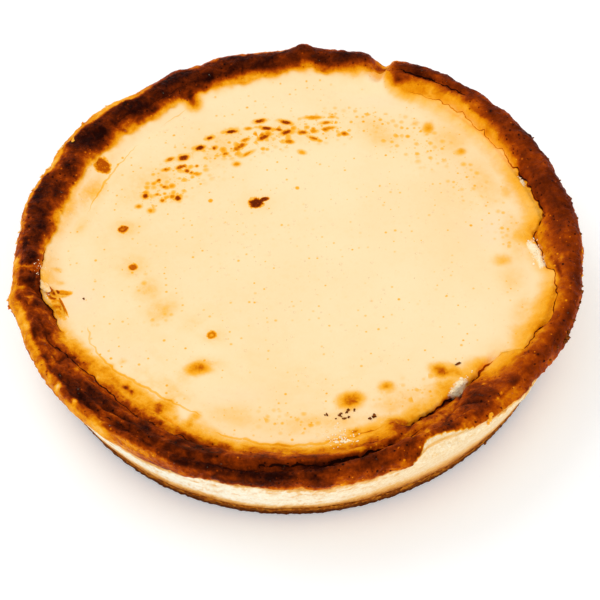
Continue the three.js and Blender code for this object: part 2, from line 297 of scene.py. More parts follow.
LIP_FROM = {
    0: 131, 60: 131, 100: 130.6, 120: 130, 130: 128.5, 140: 129.5, 160: 130.6, 170: 131, 180: 130.4, 195: 130,
    204: 130, 214: 131, 224: 130.8, 236: 131, 248: 131, 256: 129, 270: 129, 286: 128.5, 300: 130, 330: 131,
}
LIP_LEVEL = {
    0: 0.79, 11: 0.74, 27: 0.83, 35: 0.72, 51: 0.82, 60: 0.72, 66: 0.3, 71: 0.7, 80: 0.68, 83: 0.7, 86: 0.52,
    92: 0.5, 99: 0.52, 105: 0.58, 112: 0.66, 122: 0.66, 130: 0.34, 140: 0.46, 147: 0.42, 154: 0.28,
    162: 0.38, 170: 0.6, 188: 0.56, 196: 0.5, 204: 0.5, 211: 0.6, 220: 0.58, 236: 0.64, 243: 0.82, 251: 0.99,
    259: 0.95, 267: 0.87, 275: 0.83, 283: 0.76, 291: 0.7, 297: 0.4, 302: 0.6, 308: 0.71, 315: 0.54,
    320: 0.76, 340: 0.75,
}
BULGE_LEVEL = {
    0: 0.68, 20: 0.72, 60: 0.7, 100: 0.8, 150: 0.6, 170: 0.4, 187: 0.42, 203: 0.46, 211: 0.5, 219: 0.46,
    227: 0.38, 243: 0.62, 251: 0.84, 259: 0.86, 267: 0.77, 275: 0.74, 283: 0.7, 288: 0.66, 294: 0.62,
    307: 0.6, 315: 0.66, 323: 0.7, 331: 0.72, 339: 0.66, 347: 0.68, 355: 0.6,
}
FACE_LEVEL = {
    0: 0.77, 40: 0.76, 60: 0.72, 75: 0.8, 100: 0.85, 140: 0.86, 160: 0.78, 176: 0.7, 187: 0.62, 195: 0.68,
    203: 0.7, 211: 0.68, 219: 0.52, 227: 0.4, 235: 0.54, 243: 0.64, 249: 0.66, 256: 0.56, 267: 0.56, 276: 0.6,
    284: 0.6, 290: 0.56, 307: 0.52, 323: 0.6, 331: 0.68, 339: 0.66, 347: 0.72, 355: 0.72,
}
# Height at which the browned skin ends on the outer side, and how far a golden fringe hangs below it
SIDE_EDGE = {
    0: 34, 30: 33, 60: 34, 90: 32.5, 130: 34, 165: 32, 200: 31, 225: 32, 231: 31, 234: 29.6, 240: 31,
    246: 34.6, 250: 37.2, 258: 37.8, 264: 36.6, 276: 36.6, 282: 37.2, 287: 38.2, 289.5: 40, 291: 42.4,
    293: 44, 298: 44, 302: 43.2, 306: 43.2, 308: 42.2, 314: 42, 317: 41.4, 320: 39.6, 323: 38, 327: 36,
    336: 34, 348: 34,
}
FRINGE_REACH = {
    0: 2, 231: 2, 235: 3.2, 243: 3, 251: 3.4, 259: 3.2, 267: 5.4, 283: 5.6, 289: 2.4, 292: 1, 307: 1.2,
    320: 1.6,
}
# Where the skin is torn off at the front right, and the yellow gap beside it, which is painted shade under
# the lifted skin: azimuth, and how far out along the top and then down the side. Then how yellow the gap's
# painted shade is.
TEAR = {
    0: 200, 289.6: 200, 289.8: 139, 291.3: 136.1, 292.6: 132.4, 294: 130.7, 296.5: 132.1, 300: 133.1,
    303.5: 136.7, 305.5: 137.4, 307: 140, 307.2: 200,
}
GAP = {290.6: 137.3, 291.3: 136.4, 293.1: 134.4, 296.5: 133.9, 301.3: 135, 305.5: 139}
GAP_SHADE = {289.8: 0, 291: 0.5, 296: 0.48, 298: 0.4, 304: 0.36, 306.5: 0}

# How toasted the foot of the side is, how far up that fades, how far down from the skin's edge the side is
# toasted, how tan the cream of the side is, and how far the browned skin lifts off
TOAST_LEVEL = {
    0: 0.9, 60: 0.8, 219: 0.8, 227: 0.85, 243: 0.9, 259: 0.77, 275: 0.72, 283: 0.83, 307: 0.95, 315: 0.8,
}
TOAST_REACH = {
    0: 6, 60: 5, 200: 5, 227: 5.2, 235: 4.8, 243: 4.8, 259: 3.2, 275: 3.2, 283: 6.4, 299: 9.6, 307: 7.6,
    330: 7,
}
SIDE_TONE = {
    0: 0.6, 60: 0.4, 200: 0.2, 219: 0.08, 243: 0, 251: 0.1, 262: 0.2, 275: 0.3, 283: 0.44, 291: 0.57,
    320: 0.62,
}
SKIN_LIFT = {0: 0.6, 240: 0.5, 284: 0.4, 290: 1.5, 303: 1.6, 308: 0.7, 330: 0.6}
# How uneven the browning is, by azimuth
UNEVEN = {0: 0.55, 60: 0.7, 110: 0.9, 180: 1.1, 230: 1.0, 260: 0.85, 290: 0.9, 305: 0.9, 322: 0.6}
# How far the browning is drawn out in streaks along the rim, by azimuth
STREAKY = {0: 0.3, 60: 0.5, 110: 0.3, 150: 0.1, 205: 0.25, 225: 1, 270: 1, 290: 0.5, 320: 0.3}
# How crumbly the outer edge is, by azimuth
CRUMBLY = {0: 1, 50: 0.8, 70: 0.4, 120: 0.4, 150: 0.7, 210: 0.7, 230: 0.5, 262: 0.8, 290: 1, 315: 1}

# Patches on the rim: azimuth, radius, half length along and half width across, and the change in browning
PATCHES = (
    (115.2, 112.6, 4.4, 5, 0.6), (125, 118, 3.4, 2.2, 0.1), (139.5, 119.5, 3, 2, 0.12),
    (134, 118, 6, 1.6, -0.06), (146, 126, 1.6, 3, 0.06), (149.5, 128.6, 3.4, 1.8, -0.36),
    (154, 128, 3.4, 1.6, -0.26), (166, 118, 4, 1.5, -0.1), (183.6, 127.4, 1, 3.4, -0.34),
    (188.8, 127.5, 0.9, 3.4, -0.26), (192, 125.4, 2.4, 0.9, -0.16), (194.6, 120.8, 4.4, 1.6, 0.1),
    (200, 122.6, 3, 1.6, -0.08), (174, 130, 4, 2, -0.1), (189.6, 114.6, 1.6, 1, 0.66),
    (190.4, 111.4, 1.1, 3, 0.36), (193.6, 115.4, 2, 1.6, 0.4), (194.4, 113.6, 5.6, 0.7, 0.36),
    (186.4, 111.5, 1.3, 2.4, 0.14), (182.4, 113, 1.4, 2, 0.1), (233.6, 109, 2.4, 4.2, 0.4),
    (238.6, 110, 1.2, 1.2, 0.16), (242.4, 109.6, 1.4, 2.2, 0.16), (216.8, 101.8, 2.2, 1.1, 0.28),
    (224, 109.4, 2.4, 0.9, 0.14), (291, 112.8, 4.4, 4, 0.26), (284.6, 118, 3.6, 1.8, 0.14),
    (281.5, 108.6, 1.6, 0.9, 0.3), (311, 119, 4.6, 4.4, 0.1), (303, 121, 3.4, 2, -0.06),
    (299, 117, 4, 2, 0.04), (316, 131.4, 3.6, 2.4, 0.12), (61.5, 120.6, 2.6, 2, 0.16),
    (47, 130, 3, 1.4, 0.04), (8, 126, 6, 3, 0.04), (357, 119, 4, 3, -0.06), (350, 121.5, 4, 2, -0.06),
    (86, 130.6, 2.2, 1.2, -0.16), (100, 118.4, 6, 1.2, -0.06), (106, 113.5, 5, 3, 0.03),
    (235.5, 105, 3, 3.4, 0.2), (242.6, 104.8, 2.4, 2.6, 0.2), (307, 104, 4, 3, 0.16),
    (308, 110.6, 3.4, 1.2, -0.3), (301.6, 121.5, 0.6, 4, 0.12), (296, 120.6, 2.6, 1, 0.1),
    (290.2, 128.7, 2.6, 2.2, 0.1), (306.2, 110.8, 1.6, 1.2, 0.3), (303.8, 111.2, 2, 1, 0.24),
    (184.3, 124.5, 0.7, 4, -0.16), (189.9, 124, 0.7, 3.4, -0.2), (180.4, 123.3, 3, 3.4, 0.1),
    (187.1, 126, 2.4, 3, 0.12), (193.4, 122.5, 3, 2.4, 0.08), (223.6, 108.8, 1, 1, 0.2),
    (225.5, 109.2, 1, 0.8, 0.2), (216.9, 115.2, 1, 0.8, -0.2), (215.3, 133, 1.4, 1.2, -0.5),
    (220.4, 131.8, 1.2, 1, -0.4), (181.4, 132.7, 2.4, 1, -0.3), (171, 134.6, 1.6, 1, -0.4),
    (152.9, 104, 10, 5, 0.07), (164, 106, 6, 6, 0.06), (163.5, 128, 4, 3, 0.08), (300.5, 119, 0.8, 5, 0.1),
    (298, 118, 3, 1, 0.1), (304.5, 124, 0.8, 4, 0.1), (307.5, 121, 3.4, 2.4, 0.06), (286, 129, 3, 1.6, 0.08),
    (296, 126.5, 2, 1.4, -0.06), (316, 127.5, 2.6, 2.2, 0.12), (311, 126, 2, 2, 0.06),
    (195.7, 131.9, 2.4, 1.8, -0.2), (198.1, 132.1, 3, 1.6, -0.2), (203, 131.5, 4, 1.4, -0.08),
    (212.5, 132.9, 2, 1.4, -0.14), (201, 128.5, 3, 2, 0.08), (207, 130.5, 2.6, 1.6, 0.1),
    (191, 130.5, 2.4, 1.6, 0.12), (9, 131.4, 9, 2.6, 0.08), (345, 131.6, 9, 2.4, 0.09),
    (333, 131.6, 8, 2.4, 0.08), (157.2, 122.7, 5, 4, 0.07), (103.5, 122.3, 6, 4, 0.05),
    (310.7, 129.6, 0.7, 0.7, -0.24), (312, 128.4, 0.8, 0.6, -0.24), (312.3, 118.4, 0.9, 0.8, -0.26),
    (350.6, 124.6, 2.6, 1.2, -0.14),
)

# Soft brown smudges on the pale top: place x and y, half length, half width, turn, and browning. Those along
# the upper left slope, at x from -86 to -110 and turned 50 to 78 degrees, are painted shade on the slope
# beside its crease.
SMUDGES_AND_SLOPE_SHADE = (
    (-46.8, -66.8, 6.2, 3.9, 10, 0.53), (-44, -65, 11, 6, 0, 0.16), (-53, -71, 8, 6, -20, 0.12),
    (20.6, -89.6, 6.2, 4.5, 10, 0.59), (37, -82.8, 4.2, 3, 0, 0.41), (62.4, -76.3, 5.4, 3.8, -25, 0.66),
    (68, -77.5, 8, 4, -35, 0.42), (70, 75, 2.8, 4.3, -10, 0.46), (84.8, 58, 2.7, 2.7, 0, 0.4),
    (80, 64, 2, 1.8, 0, 0.26), (64, 79, 2, 1.6, 0, 0.26), (-70, -19, 7, 9, 0, 0.2),
    (-64, -32, 9, 8, 30, 0.19), (-49, -40, 12, 8, 30, 0.1), (-70, 48, 22, 13, 38, 0.15),
    (-35, 72, 30, 14, 22, 0.14), (0, 78, 34, 12, -4, 0.13), (45, 74, 28, 13, -28, 0.14),
    (80, 66, 12, 14, 40, 0.16), (94, 35, 11, 28, 18, 0.15), (104, 2, 9, 24, 0, 0.16),
    (100, -24, 9, 14, 0, 0.14), (104, -46, 8, 16, -20, 0.17), (88, -72, 14, 10, 45, 0.17),
    (64, -84, 16, 9, 38, 0.24), (40, -93, 18, 8, 22, 0.18), (10, -100, 34, 8, 4, 0.15),
    (-30, -94, 24, 8, -20, 0.13), (-62, -76, 24, 8, -38, 0.13), (10, -78, 70, 26, 0, 0.07),
    (-66, -58, 40, 24, -45, 0.06), (-84, 6, 22, 44, 0, 0.06), (90, 20, 24, 60, 0, 0.08),
    (97, -13.5, 5, 4.5, 0, 0.32), (104, 29, 5, 7, 15, 0.2), (-110, 32, 8, 5, 70, 0.12),
    (-92, 62, 12, 6, 50, 0.1), (-98, 44, 14, 6, 63, 0.23), (-103, 24, 10, 5, 78, 0.13),
    (-95, 39, 15, 4.5, 66, 0.13), (-86, 53, 9, 4, 56, 0.1), (-82.4, 19.6, 9, 8, 0, 0.14),
    (-77.2, -4.7, 9, 8, 0, 0.16), (-40.4, -48.1, 9, 8, 0, 0.13), (-16.5, 32.5, 9, 7, 0, 0.12),
)

# Where small freckles are strewn: place x and y, half length, half width, turn and how thickly
STREWN = (
    (62, 68, 34, 17, -40, 0.75), (38, 82, 28, 13, -18, 0.75), (-58, 50, 26, 13, 42, 1),
    (-20, 73, 30, 12, 12, 1), (18, 79, 24, 11, -8, 0.9), (84, 40, 13, 24, 20, 0.7), (100, 5, 10, 30, 0, 0.6),
    (-71, -16, 8, 12, 0, 0.6), (-65, -34, 9, 8, 0, 0.7), (-46, -42, 14, 8, 0, 0.3),
    (50, -88, 30, 12, 25, 0.7), (0, -100, 34, 9, 0, 0.7), (-45, 52, 24, 14, 40, 0.5),
    (104, -50, 9, 20, -15, 0.4), (-20, -94, 20, 10, -14, 0.5),
)

# Pinkish, barely set skin: place x and y, half length and half width, and strength
ROSY = (
    (95, 6, 15, 12, 0.8), (-104, -22, 12, 9, 0.8), (32, -97, 10, 6, 0.5), (84, 44, 10, 12, 0.4),
    (-84, -58, 18, 8, 0.5), (-104, 48, 10, 16, 0.5), (-30, -84, 18, 6, 0.4), (48, 96, 14, 6, 0.4),
)

# Where white curd shows through: azimuth, radius, half length along and half width across
BARE_CURD = (
    (309.9, 109.6, 4.6, 2.6), (307, 110.4, 3, 1.2), (357.2, 110.9, 3.4, 2), (354.6, 113.5, 5, 2.2),
    (351.3, 116, 4, 1.7), (17, 117.6, 4, 0.7),
)

# Lumps of the rim: azimuth, radius, half length along, half width across and height
LUMPS = (
    (179.5, 125, 5.4, 4.2, 1.3), (186.3, 126.2, 3.2, 4, 1.1), (191.6, 125, 3.2, 3.6, 1.1),
    (195, 121, 5.4, 2.2, 0.9), (199, 126.6, 4, 3, 0.5), (172, 124, 6, 4, 0.5), (163, 122, 7, 4, 0.5),
    (150, 121, 6, 4, 0.4), (139, 121, 6, 4, 0.5), (128, 121, 5, 3.4, 0.4), (290.5, 126, 3.6, 4, 1),
    (295.4, 124.6, 3, 3, 0.6), (309.6, 118.4, 6, 5, 1.6), (303.4, 126, 5.4, 4.6, 1.3), (283, 118, 7, 4, 0.8),
    (272, 119, 8, 4.4, 0.9), (261, 120, 8, 4.4, 0.8), (253, 121.4, 5, 4, 0.6), (345, 127, 8, 4, 0.5),
    (357, 118.6, 5, 3, 0.6), (12, 125, 9, 5, 0.4), (28, 126, 8, 4, 0.4), (45, 123, 8, 2.4, 0.5),
    (56, 121.4, 6, 3, 0.8), (6, 115.4, 4.4, 3.2, 0.8), (340, 121.4, 7, 3, 0.5), (352, 113.6, 5, 3, 0.4),
    (234, 108.4, 2.6, 3.4, 0.5), (224, 120.4, 9, 2, 0.5), (212, 121, 6, 2, 0.5), (238, 121.4, 7, 2.4, 0.5),
    (289.6, 112.6, 5, 4, 3.2), (297.6, 121, 3.6, 4.6, 0.8),
)

# Small creases of the browned rim: depth, change in browning, then azimuth and radius of each place on it.
# Where that change darkens, it is painted shade in the crease.
CREASES = (
    (1.0, 0.16, (308.1, 125.4), (305.6, 121.4), (304.2, 119.5), (302.6, 119.6), (300.7, 121.8),
     (299.1, 123.9)),
    (0.7, 0.14, (308.4, 111.6), (307, 115.1), (305.2, 116.6), (303.2, 118.8)),
    (0.6, 0.1, (287.4, 121.6), (291.6, 118.4), (293.8, 115.4), (296.8, 113.6), (300.2, 113.2)),
    (0.5, -0.14, (294.5, 123.9), (294.7, 127.2), (294.6, 129.6)),
    (0.7, 0.14, (291.7, 122.6), (291.4, 126.5), (292.6, 128)),
    (0.5, -0.12, (290, 127.4), (292, 129.6), (293.6, 130.2)),
    (0.9, 0.08, (189.2, 127.7), (188.4, 124.4), (188.7, 121.9), (189.6, 121)),
    (0.7, -0.16, (190.8, 127), (191.7, 125.3), (191.1, 122.5)),
    (0.5, -0.16, (192.8, 126.7), (194.8, 129.2)),
    (1.1, 0.08, (197.5, 124.6), (201.2, 123.6), (204.4, 124), (207.4, 124.9), (210.2, 125.7)),
    (0.8, 0.12, (201.6, 122.5), (204, 122.3), (206.5, 122.6)),
    (0.9, 0.12, (209.3, 124.8), (209.4, 122.5), (208.7, 119.6), (209, 117.3)),
    (1.0, 0.12, (225.4, 124.5), (227.3, 123.7), (229.7, 123.6), (232, 124.9)),
    (0.9, 0.12, (236.4, 111.8), (238.8, 112.4), (240.4, 113.4)),
    (0.9, 0.12, (241.1, 115.8), (244.4, 117.3), (247.3, 119.7)),
    (0.7, 0.1, (182.5, 125.5), (184.2, 127.1), (184.4, 130)),
    (0.8, 0.12, (345.6, 124.6), (349, 122.4), (352.4, 119.6)),
    (0.6, 0.1, (317.6, 119.4), (320.6, 121.4), (323.6, 124.6)),
)
CREASE_WIDTH = 0.9


def lerp(low, high, share):
    return low + (high - low) * share


def smoothstep(value, low, high):
    share = np.clip((value - low) / (high - low), 0, 1)
    return share * share * (3 - 2 * share)


def step_at(value, place, softness):
    return smoothstep(value, place - softness, place + softness)


def hump(distance, reach):
    return np.exp(-((distance / reach) ** 2))


def turn_from(start, azimuth):
    return np.mod(azimuth - start, FULL_TURN)


def turn_beside(centre, azimuth):
    return turn_from(centre - FULL_TURN / 2, azimuth) - FULL_TURN / 2


def around(points, azimuth):
    """The value at an azimuth of a line that is given at some azimuths and closes after a turn."""
    return np.interp(azimuth, list(points), list(points.values()), period=FULL_TURN)


def wave_sum(waves, azimuth):
    return sum(size * np.sin(np.radians(count * azimuth + phase)) for count, size, phase in waves)


def shift_sum(shifts, azimuth):
    return sum(out * hump(turn_beside(at, azimuth), reach) for at, reach, out in shifts)


def rim_out(azimuth):
    swells = [(at, reach, out) for at, reach, out, _ in SWELLS]
    return shift_sum(swells, azimuth) + wave_sum(RIM_LUMPS, azimuth)


def rim_up(azimuth):
    swells = [(at, reach, up) for at, reach, _, up in SWELLS]
    return shift_sum(swells, azimuth) + wave_sum(RIM_LUMPS, azimuth + FULL_TURN / 4)


def patch_sum(patches, radius, azimuth):
    """Adds up patches of the rim: azimuth, radius, half length along, half width across and size."""
    total = np.zeros_like(radius)
    for at, centre, along, across, size in patches:
        beside = np.radians(turn_beside(at, azimuth)) * centre
        total += size * hump(np.hypot(beside / along, (radius - centre) / across), 1)
    return total


def distance_to(x, y, start, end):
    """How far each point is from the straight line between two points."""
    along = (end[0] - start[0], end[1] - start[1])
    share = ((x - start[0]) * along[0] + (y - start[1]) * along[1]) / (along[0] ** 2 + along[1] ** 2)
    share = np.clip(share, 0, 1)
    return np.hypot(x - start[0] - share * along[0], y - start[1] - share * along[1])


def crease_sum(radius, azimuth, column):
    """The strongest crease at each point: column 0 for their depths, column 1 for their browning, which is
    painted shade where it darkens the crease.
    """
    x, y = radius * np.cos(np.radians(azimuth)), radius * np.sin(np.radians(azimuth))
    total = np.zeros_like(radius)
    for crease in CREASES:
        turns = [math.radians(turn) for turn, _ in crease[2:]]
        places = [(out * math.cos(turn), out * math.sin(turn)) for turn, (_, out) in zip(turns, crease[2:])]
        nearest = np.min([distance_to(x, y, *ends) for ends in zip(places, places[1:])], axis=0)
        share = crease[column] * hump(nearest, CREASE_WIDTH)
        total = np.where(np.abs(share) > np.abs(total), share, total)
    return total


def oval_distance(x, y, across, up, length, width, turn):
    """How far each point is from the middle of a turned oval, which ends at 1."""
    angle = math.radians(turn)
    along = (x - across) * math.cos(angle) + (y - up) * math.sin(angle)
    beside = (y - up) * math.cos(angle) - (x - across) * math.sin(angle)
    return np.hypot(along / length, beside / width)


def spot_sum(spots, x, y):
    """The highest of the soft spots of the top: place, half length, half width, turn and size."""
    highest = np.zeros_like(x)
    for *oval, size in spots:
        highest = np.maximum(highest, size * hump(oval_distance(x, y, *oval), 1))
    return highest


def fold_depth(radius, azimuth):
    deepest = np.zeros_like(radius)
    for start, end, first, last, depth, width in FOLDS:
        along = turn_from(start, azimuth) / (end - start)
        line = lerp(first, last, along) + wave_sum(FOLD_WANDER, azimuth)
        ends = np.sqrt(np.maximum(np.sin(np.pi * np.minimum(along, 1)), 0))
        deepest = np.maximum(deepest, depth * ends * hump(radius - line, width))
    return deepest


def notch_depth(radius, azimuth):
    turn = turn_beside(NOTCH_AT, azimuth)
    reach = np.where(turn < 0, NOTCH_STEEP_REACH, NOTCH_RAMP_REACH)
    return NOTCH_DEPTH * hump(turn, reach) * smoothstep(radius, NOTCH_FROM, NOTCH_TO)


def notch_lift(height):
    """The share of the notch's depth that a point of the outer side or the crown sinks by."""
    return np.clip((height - SHOULDER_HEIGHT) / (CREST_HEIGHT - SHOULDER_HEIGHT), 0, 1)


def ledge_depth(height, azimuth):
    along = turn_from(LEDGE_FROM, azimuth) / (LEDGE_TO - LEDGE_FROM)
    inside = np.sin(np.pi * np.minimum(along, 1))
    return LEDGE_DEPTH * inside * hump(height - LEDGE_HEIGHT, LEDGE_REACH)


def seam_wave(radius, azimuth):
    return wave_sum(SEAM_WAVES, azimuth) * smoothstep(radius, SMOOTH_UNDERSIDE_RADIUS, FOOT_RADIUS)


def top_height(radius, azimuth):
    middle = TOP_HEIGHT - CENTRE_DIP * hump(radius, CENTRE_DIP_REACH)
    crest = CREST_HEIGHT + rim_up(azimuth)
    slope_foot = SLOPE_FOOT_RADIUS + shift_sum(SLOPE_FOOT_SHIFTS, azimuth)
    slope_top = CREST_RADIUS + shift_sum(CREST_SHIFTS, azimuth)
    return lerp(middle, crest, smoothstep(radius, slope_foot, slope_top))


def sloping(radius, height):
    """Which points of the section are on the top and its slope, on the crown and on the side."""
    top = (radius <= CREST_RADIUS) & (height >= TOP_HEIGHT - MARGIN)
    crown = ~top & (height > RIM_HEIGHT)
    side = ~top & ~crown & (radius > FOOT_RADIUS)
    return top, crown, side


def cheese_place(radius, height, azimuth):
    """Where a point of the cheese's section goes at an azimuth, as in the solids."""
    top, crown, side = sloping(radius, height)
    out = rim_out(azimuth)
    foot = shift_sum(FOOT_SWELLS, azimuth)
    fold = fold_depth(radius, azimuth)
    notch = notch_depth(radius, azimuth)
    sunk = notch * notch_lift(height)
    climb = np.clip((height - BASE_THICKNESS) / (RIM_HEIGHT - BASE_THICKNESS), 0, 1)
    lift = (height - RIM_HEIGHT) / (CREST_HEIGHT - RIM_HEIGHT)
    seam = seam_wave(radius, azimuth)
    face_out = foot * smoothstep(radius, SMOOTH_UNDERSIDE_RADIUS, FOOT_RADIUS)
    side_out = lerp(foot, out, climb) - ledge_depth(height, azimuth)
    top_out = out * smoothstep(radius, SMOOTH_TOP_RADIUS, CREST_RADIUS)
    stretches = [top, crown, side]
    moved_out = radius + np.select(stretches, [top_out, out, side_out], face_out)
    crown_height = height + (rim_up(azimuth) - fold) * lift - sunk
    side_height = height + seam * (1 - climb) - sunk
    heights = [top_height(radius, azimuth) - fold - notch, crown_height, side_height]
    return moved_out, np.select(stretches, heights, height + seam)


def bezier(start, middle, end, steps):
    """Points of a quadratic curve, without its last one."""
    points = []
    for step in range(steps):
        t = step / steps
        weights = ((1 - t) ** 2, 2 * t * (1 - t), t * t)
        points.append(tuple(sum(w * p[i] for w, p in zip(weights, (start, middle, end))) for i in (0, 1)))
    return points


def straight(start, end, steps):
    """Points of a straight line, without its last one."""
    return [tuple(lerp(start[i], end[i], step / steps) for i in (0, 1)) for step in range(steps)]


def profile_wire(bm, points):
    """A wire of vertices in the plane of the first azimuth, from radius and height in millimetres."""
    angle = math.radians(FIRST_AZIMUTH)
    verts = []
    for radius, height in points:
        place = (radius * math.cos(angle), radius * math.sin(angle), height)
        verts.append(bm.verts.new(place))
    return verts, [bm.edges.new(pair) for pair in zip(verts, verts[1:])]


def spin_wire(bm, points, steps):
    """Spins a section through one sector and doubles that until it goes right round, and adds it to bm."""
    part = bmesh.new()
    verts, edges = profile_wire(part, points)
    angle = math.radians(FULL_TURN / SECTORS)
    bmesh.ops.spin(part, geom=verts + edges, axis=(0, 0, 1), angle=angle, steps=steps // SECTORS)
    while angle < math.radians(FULL_TURN - 1):
        copied = bmesh.ops.duplicate(part, geom=part.verts[:] + part.edges[:] + part.faces[:])["geom"]
        moved = [made for made in copied if isinstance(made, bmesh.types.BMVert)]
        bmesh.ops.rotate(part, cent=(0, 0, 0), matrix=Matrix.Rotation(angle, 3, "Z"), verts=moved)
        angle *= 2
    bmesh.ops.remove_doubles(part, verts=part.verts, dist=MERGE_DISTANCE)
    carrier = bpy.data.meshes.new("section")
    part.to_mesh(carrier)
    part.free()
    bm.from_mesh(carrier)
    bpy.data.meshes.remove(carrier)


def bridge_gap(bm, inner, outer, level):
    """Joins the open rings at two radii of a flat face, which may have different numbers of vertices."""
    rings = []
    for edge in bm.edges:
        middle = (edge.verts[0].co + edge.verts[1].co) / 2
        between = inner - MARGIN < math.hypot(middle.x, middle.y) < outer + MARGIN
        if edge.is_boundary and between and abs(middle.z - level) < MARGIN:
            rings.append(edge)
    bmesh.ops.bridge_loops(bm, edges=rings)


def fill_middle(bm, level):
    """Adds the plain middle of a flat face that the rim's mesh leaves open."""
    spin_wire(bm, [(UNDERSIDE_MESH_RADIUS, level), (0, level)], CENTRE_STEPS)
    bridge_gap(bm, UNDERSIDE_MESH_RADIUS, SMOOTH_UNDERSIDE_RADIUS, level)


def add_object(name, data):
    made = bpy.data.objects.new(name, data)
    bpy.context.scene.collection.objects.link(made)
    return made


def finish_mesh(bm, name):
    """Closes the poles, turns the faces outwards and makes the object, still in millimetres."""
    bmesh.ops.remove_doubles(bm, verts=bm.verts, dist=MERGE_DISTANCE)
    bmesh.ops.recalc_face_normals(bm, faces=bm.faces)
    mesh = bpy.data.meshes.new(name)
    bm.to_mesh(mesh)
    bm.free()
    return add_object(name, mesh)


def follow_edge(radius, azimuth, top):
    """Moves the rings of the slope so that one of them runs along the edge of the pale skin."""
    edge = np.minimum(around(EDGE, azimuth) + wave_sum(LINE_WAVES, azimuth), OUTERMOST_EDGE)
    ring = lerp(CREST_RADIUS, SLOPE_FOOT_RADIUS, EDGE_RING / SLOPE_RINGS)
    outer = np.clip((radius - ring) / (CREST_RADIUS - ring), 0, 1) ** EDGE_CROWDING
    inner = np.clip((ring - radius) / (ring - RIM_MESH_RADIUS), 0, 1) ** EDGE_CROWDING
    moved = np.where(radius > ring, lerp(edge, CREST_RADIUS, outer), lerp(edge, RIM_MESH_RADIUS, inner))
    return np.where(top & (radius > RIM_MESH_RADIUS), moved, radius)


def read_vectors(items, name):
    vectors = np.empty(len(items) * 3)
    items.foreach_get(name, vectors)
    return vectors.reshape(-1, 3)


def write_points(mesh, points):
    mesh.vertices.foreach_set("co", np.ascontiguousarray(points, dtype=np.float32).ravel())
    mesh.update()


def write_values(mesh, name, values):
    """Keeps one number for each vertex, which a material reads by its name."""
    layer = mesh.attributes.new(name, "FLOAT", "POINT")
    layer.data.foreach_set("value", np.ascontiguousarray(values, dtype=np.float32))


def polar(points):
    radius = np.hypot(points[:, 0], points[:, 1])
    azimuth = np.mod(np.degrees(np.arctan2(points[:, 1], points[:, 0])), FULL_TURN)
    return radius, azimuth


def from_polar(radius, azimuth, height):
    angle = np.radians(azimuth)
    return np.stack([radius * np.cos(angle), radius * np.sin(angle), height], axis=1)


def grain(points, size, octaves=3, roughness=0.55):
    """Fractal noise about -1 to 1 at each point; size is that of its largest lumps, in millimetres."""
    steepness = -math.log2(roughness)
    scaled = points / size
    return np.array([noise.fractal(Vector(p), steepness, 2.0, octaves) for p in scaled.tolist()])


def rough(points, height, size, octaves, drawn=(1, 1, 1)):
    """Grain of some height in millimetres; drawn squeezes it along each axis."""
    return height * grain(points * drawn, size, octaves)


def ridges(points, size):
    """Sharp creases about their mean, with rounded ground between them."""
    creases = 1 - np.abs(grain(points, size)) * 2
    return creases - creases.mean()


def ring_points(radius, azimuth, height, stretch):
    """Points in which the way round is shortened, so that noise comes out drawn along the rim."""
    return from_polar(np.full_like(radius, RIM_RADIUS / stretch), azimuth, radius + height)


def from_line(line, radius, azimuth):
    """How far outside a line of the rim each point lies, in millimetres."""
    return radius - around(line, azimuth) - wave_sum(LINE_WAVES, azimuth)


# Levels of browning that count as orange and as brown, and the narrowest band between two levels
ORANGE_LEVEL = 0.44
BROWN_LEVEL = 0.62
NARROWEST_BAND = 0.3

# The pale skin's edge: size and octaves of its grain, then how far it strays and how soft it is, closed
# and gaping
EDGE_GRAIN = (8, 2)
EDGE_STRAY = (1.3, 0.4)
EDGE_SOFTNESS = (1.2, 0.3)

# Heights between which the browning passes from the lip's to the bulge's and on to the outer face's
BULGE_FROM = 43.6
BULGE_TO = 42.0
FACE_FROM = 40.0
FACE_TO = 37.5
LIP_SOFTNESS = 1.0

# The band of painted shade outside the skin's edge: how far from it, and its half width
EDGE_SHADE_AT = 0.8
EDGE_SHADE_REACH = 1.2

# Cracks of the rim: place and gape, change in browning, which is painted shade in the crack, and its half
# width, depth and its half width
CRACKS = (
    (CREVICE, CREVICE_OPEN, 0.06, 1.4, 1.3, 1.1),
    (INNER_FOLD, INNER_FOLD_OPEN, 0.04, 1.2, 0.9, 1.0),
)

# How far the browned skin's lower edge and the tear stray: height, size, octaves and squeeze of the grain
SIDE_EDGE_STRAY = (0.8, 5, 4, (1, 1, 0.4))
TEAR_STRAY = (0.7, 3, 3)
TORN_SOFTNESS = 0.3
HIGHEST_RIM = 46.5
UNTORN = 190.0

# The side's toasting: its two grains, how far above the base it starts to fade and how suddenly, what each
# grain shifts that by, the level right under the skin's edge and what each grain changes there
RAGGED_GRAIN = (1, 6, 3, (1, 1, 1.6))
FRAYED_GRAIN = (1, 2, 3, (1, 1, 1.3))
TOAST_START = 0.6
TOAST_POWER = 1.3
TOAST_RAGGED = 1.6
TOAST_FRAYED = 1.3
FRINGE_TOAST = 0.78
FRINGE_RAGGED = 0.25
FRINGE_FRAYED = 0.2
GAP_HALF = 0.8


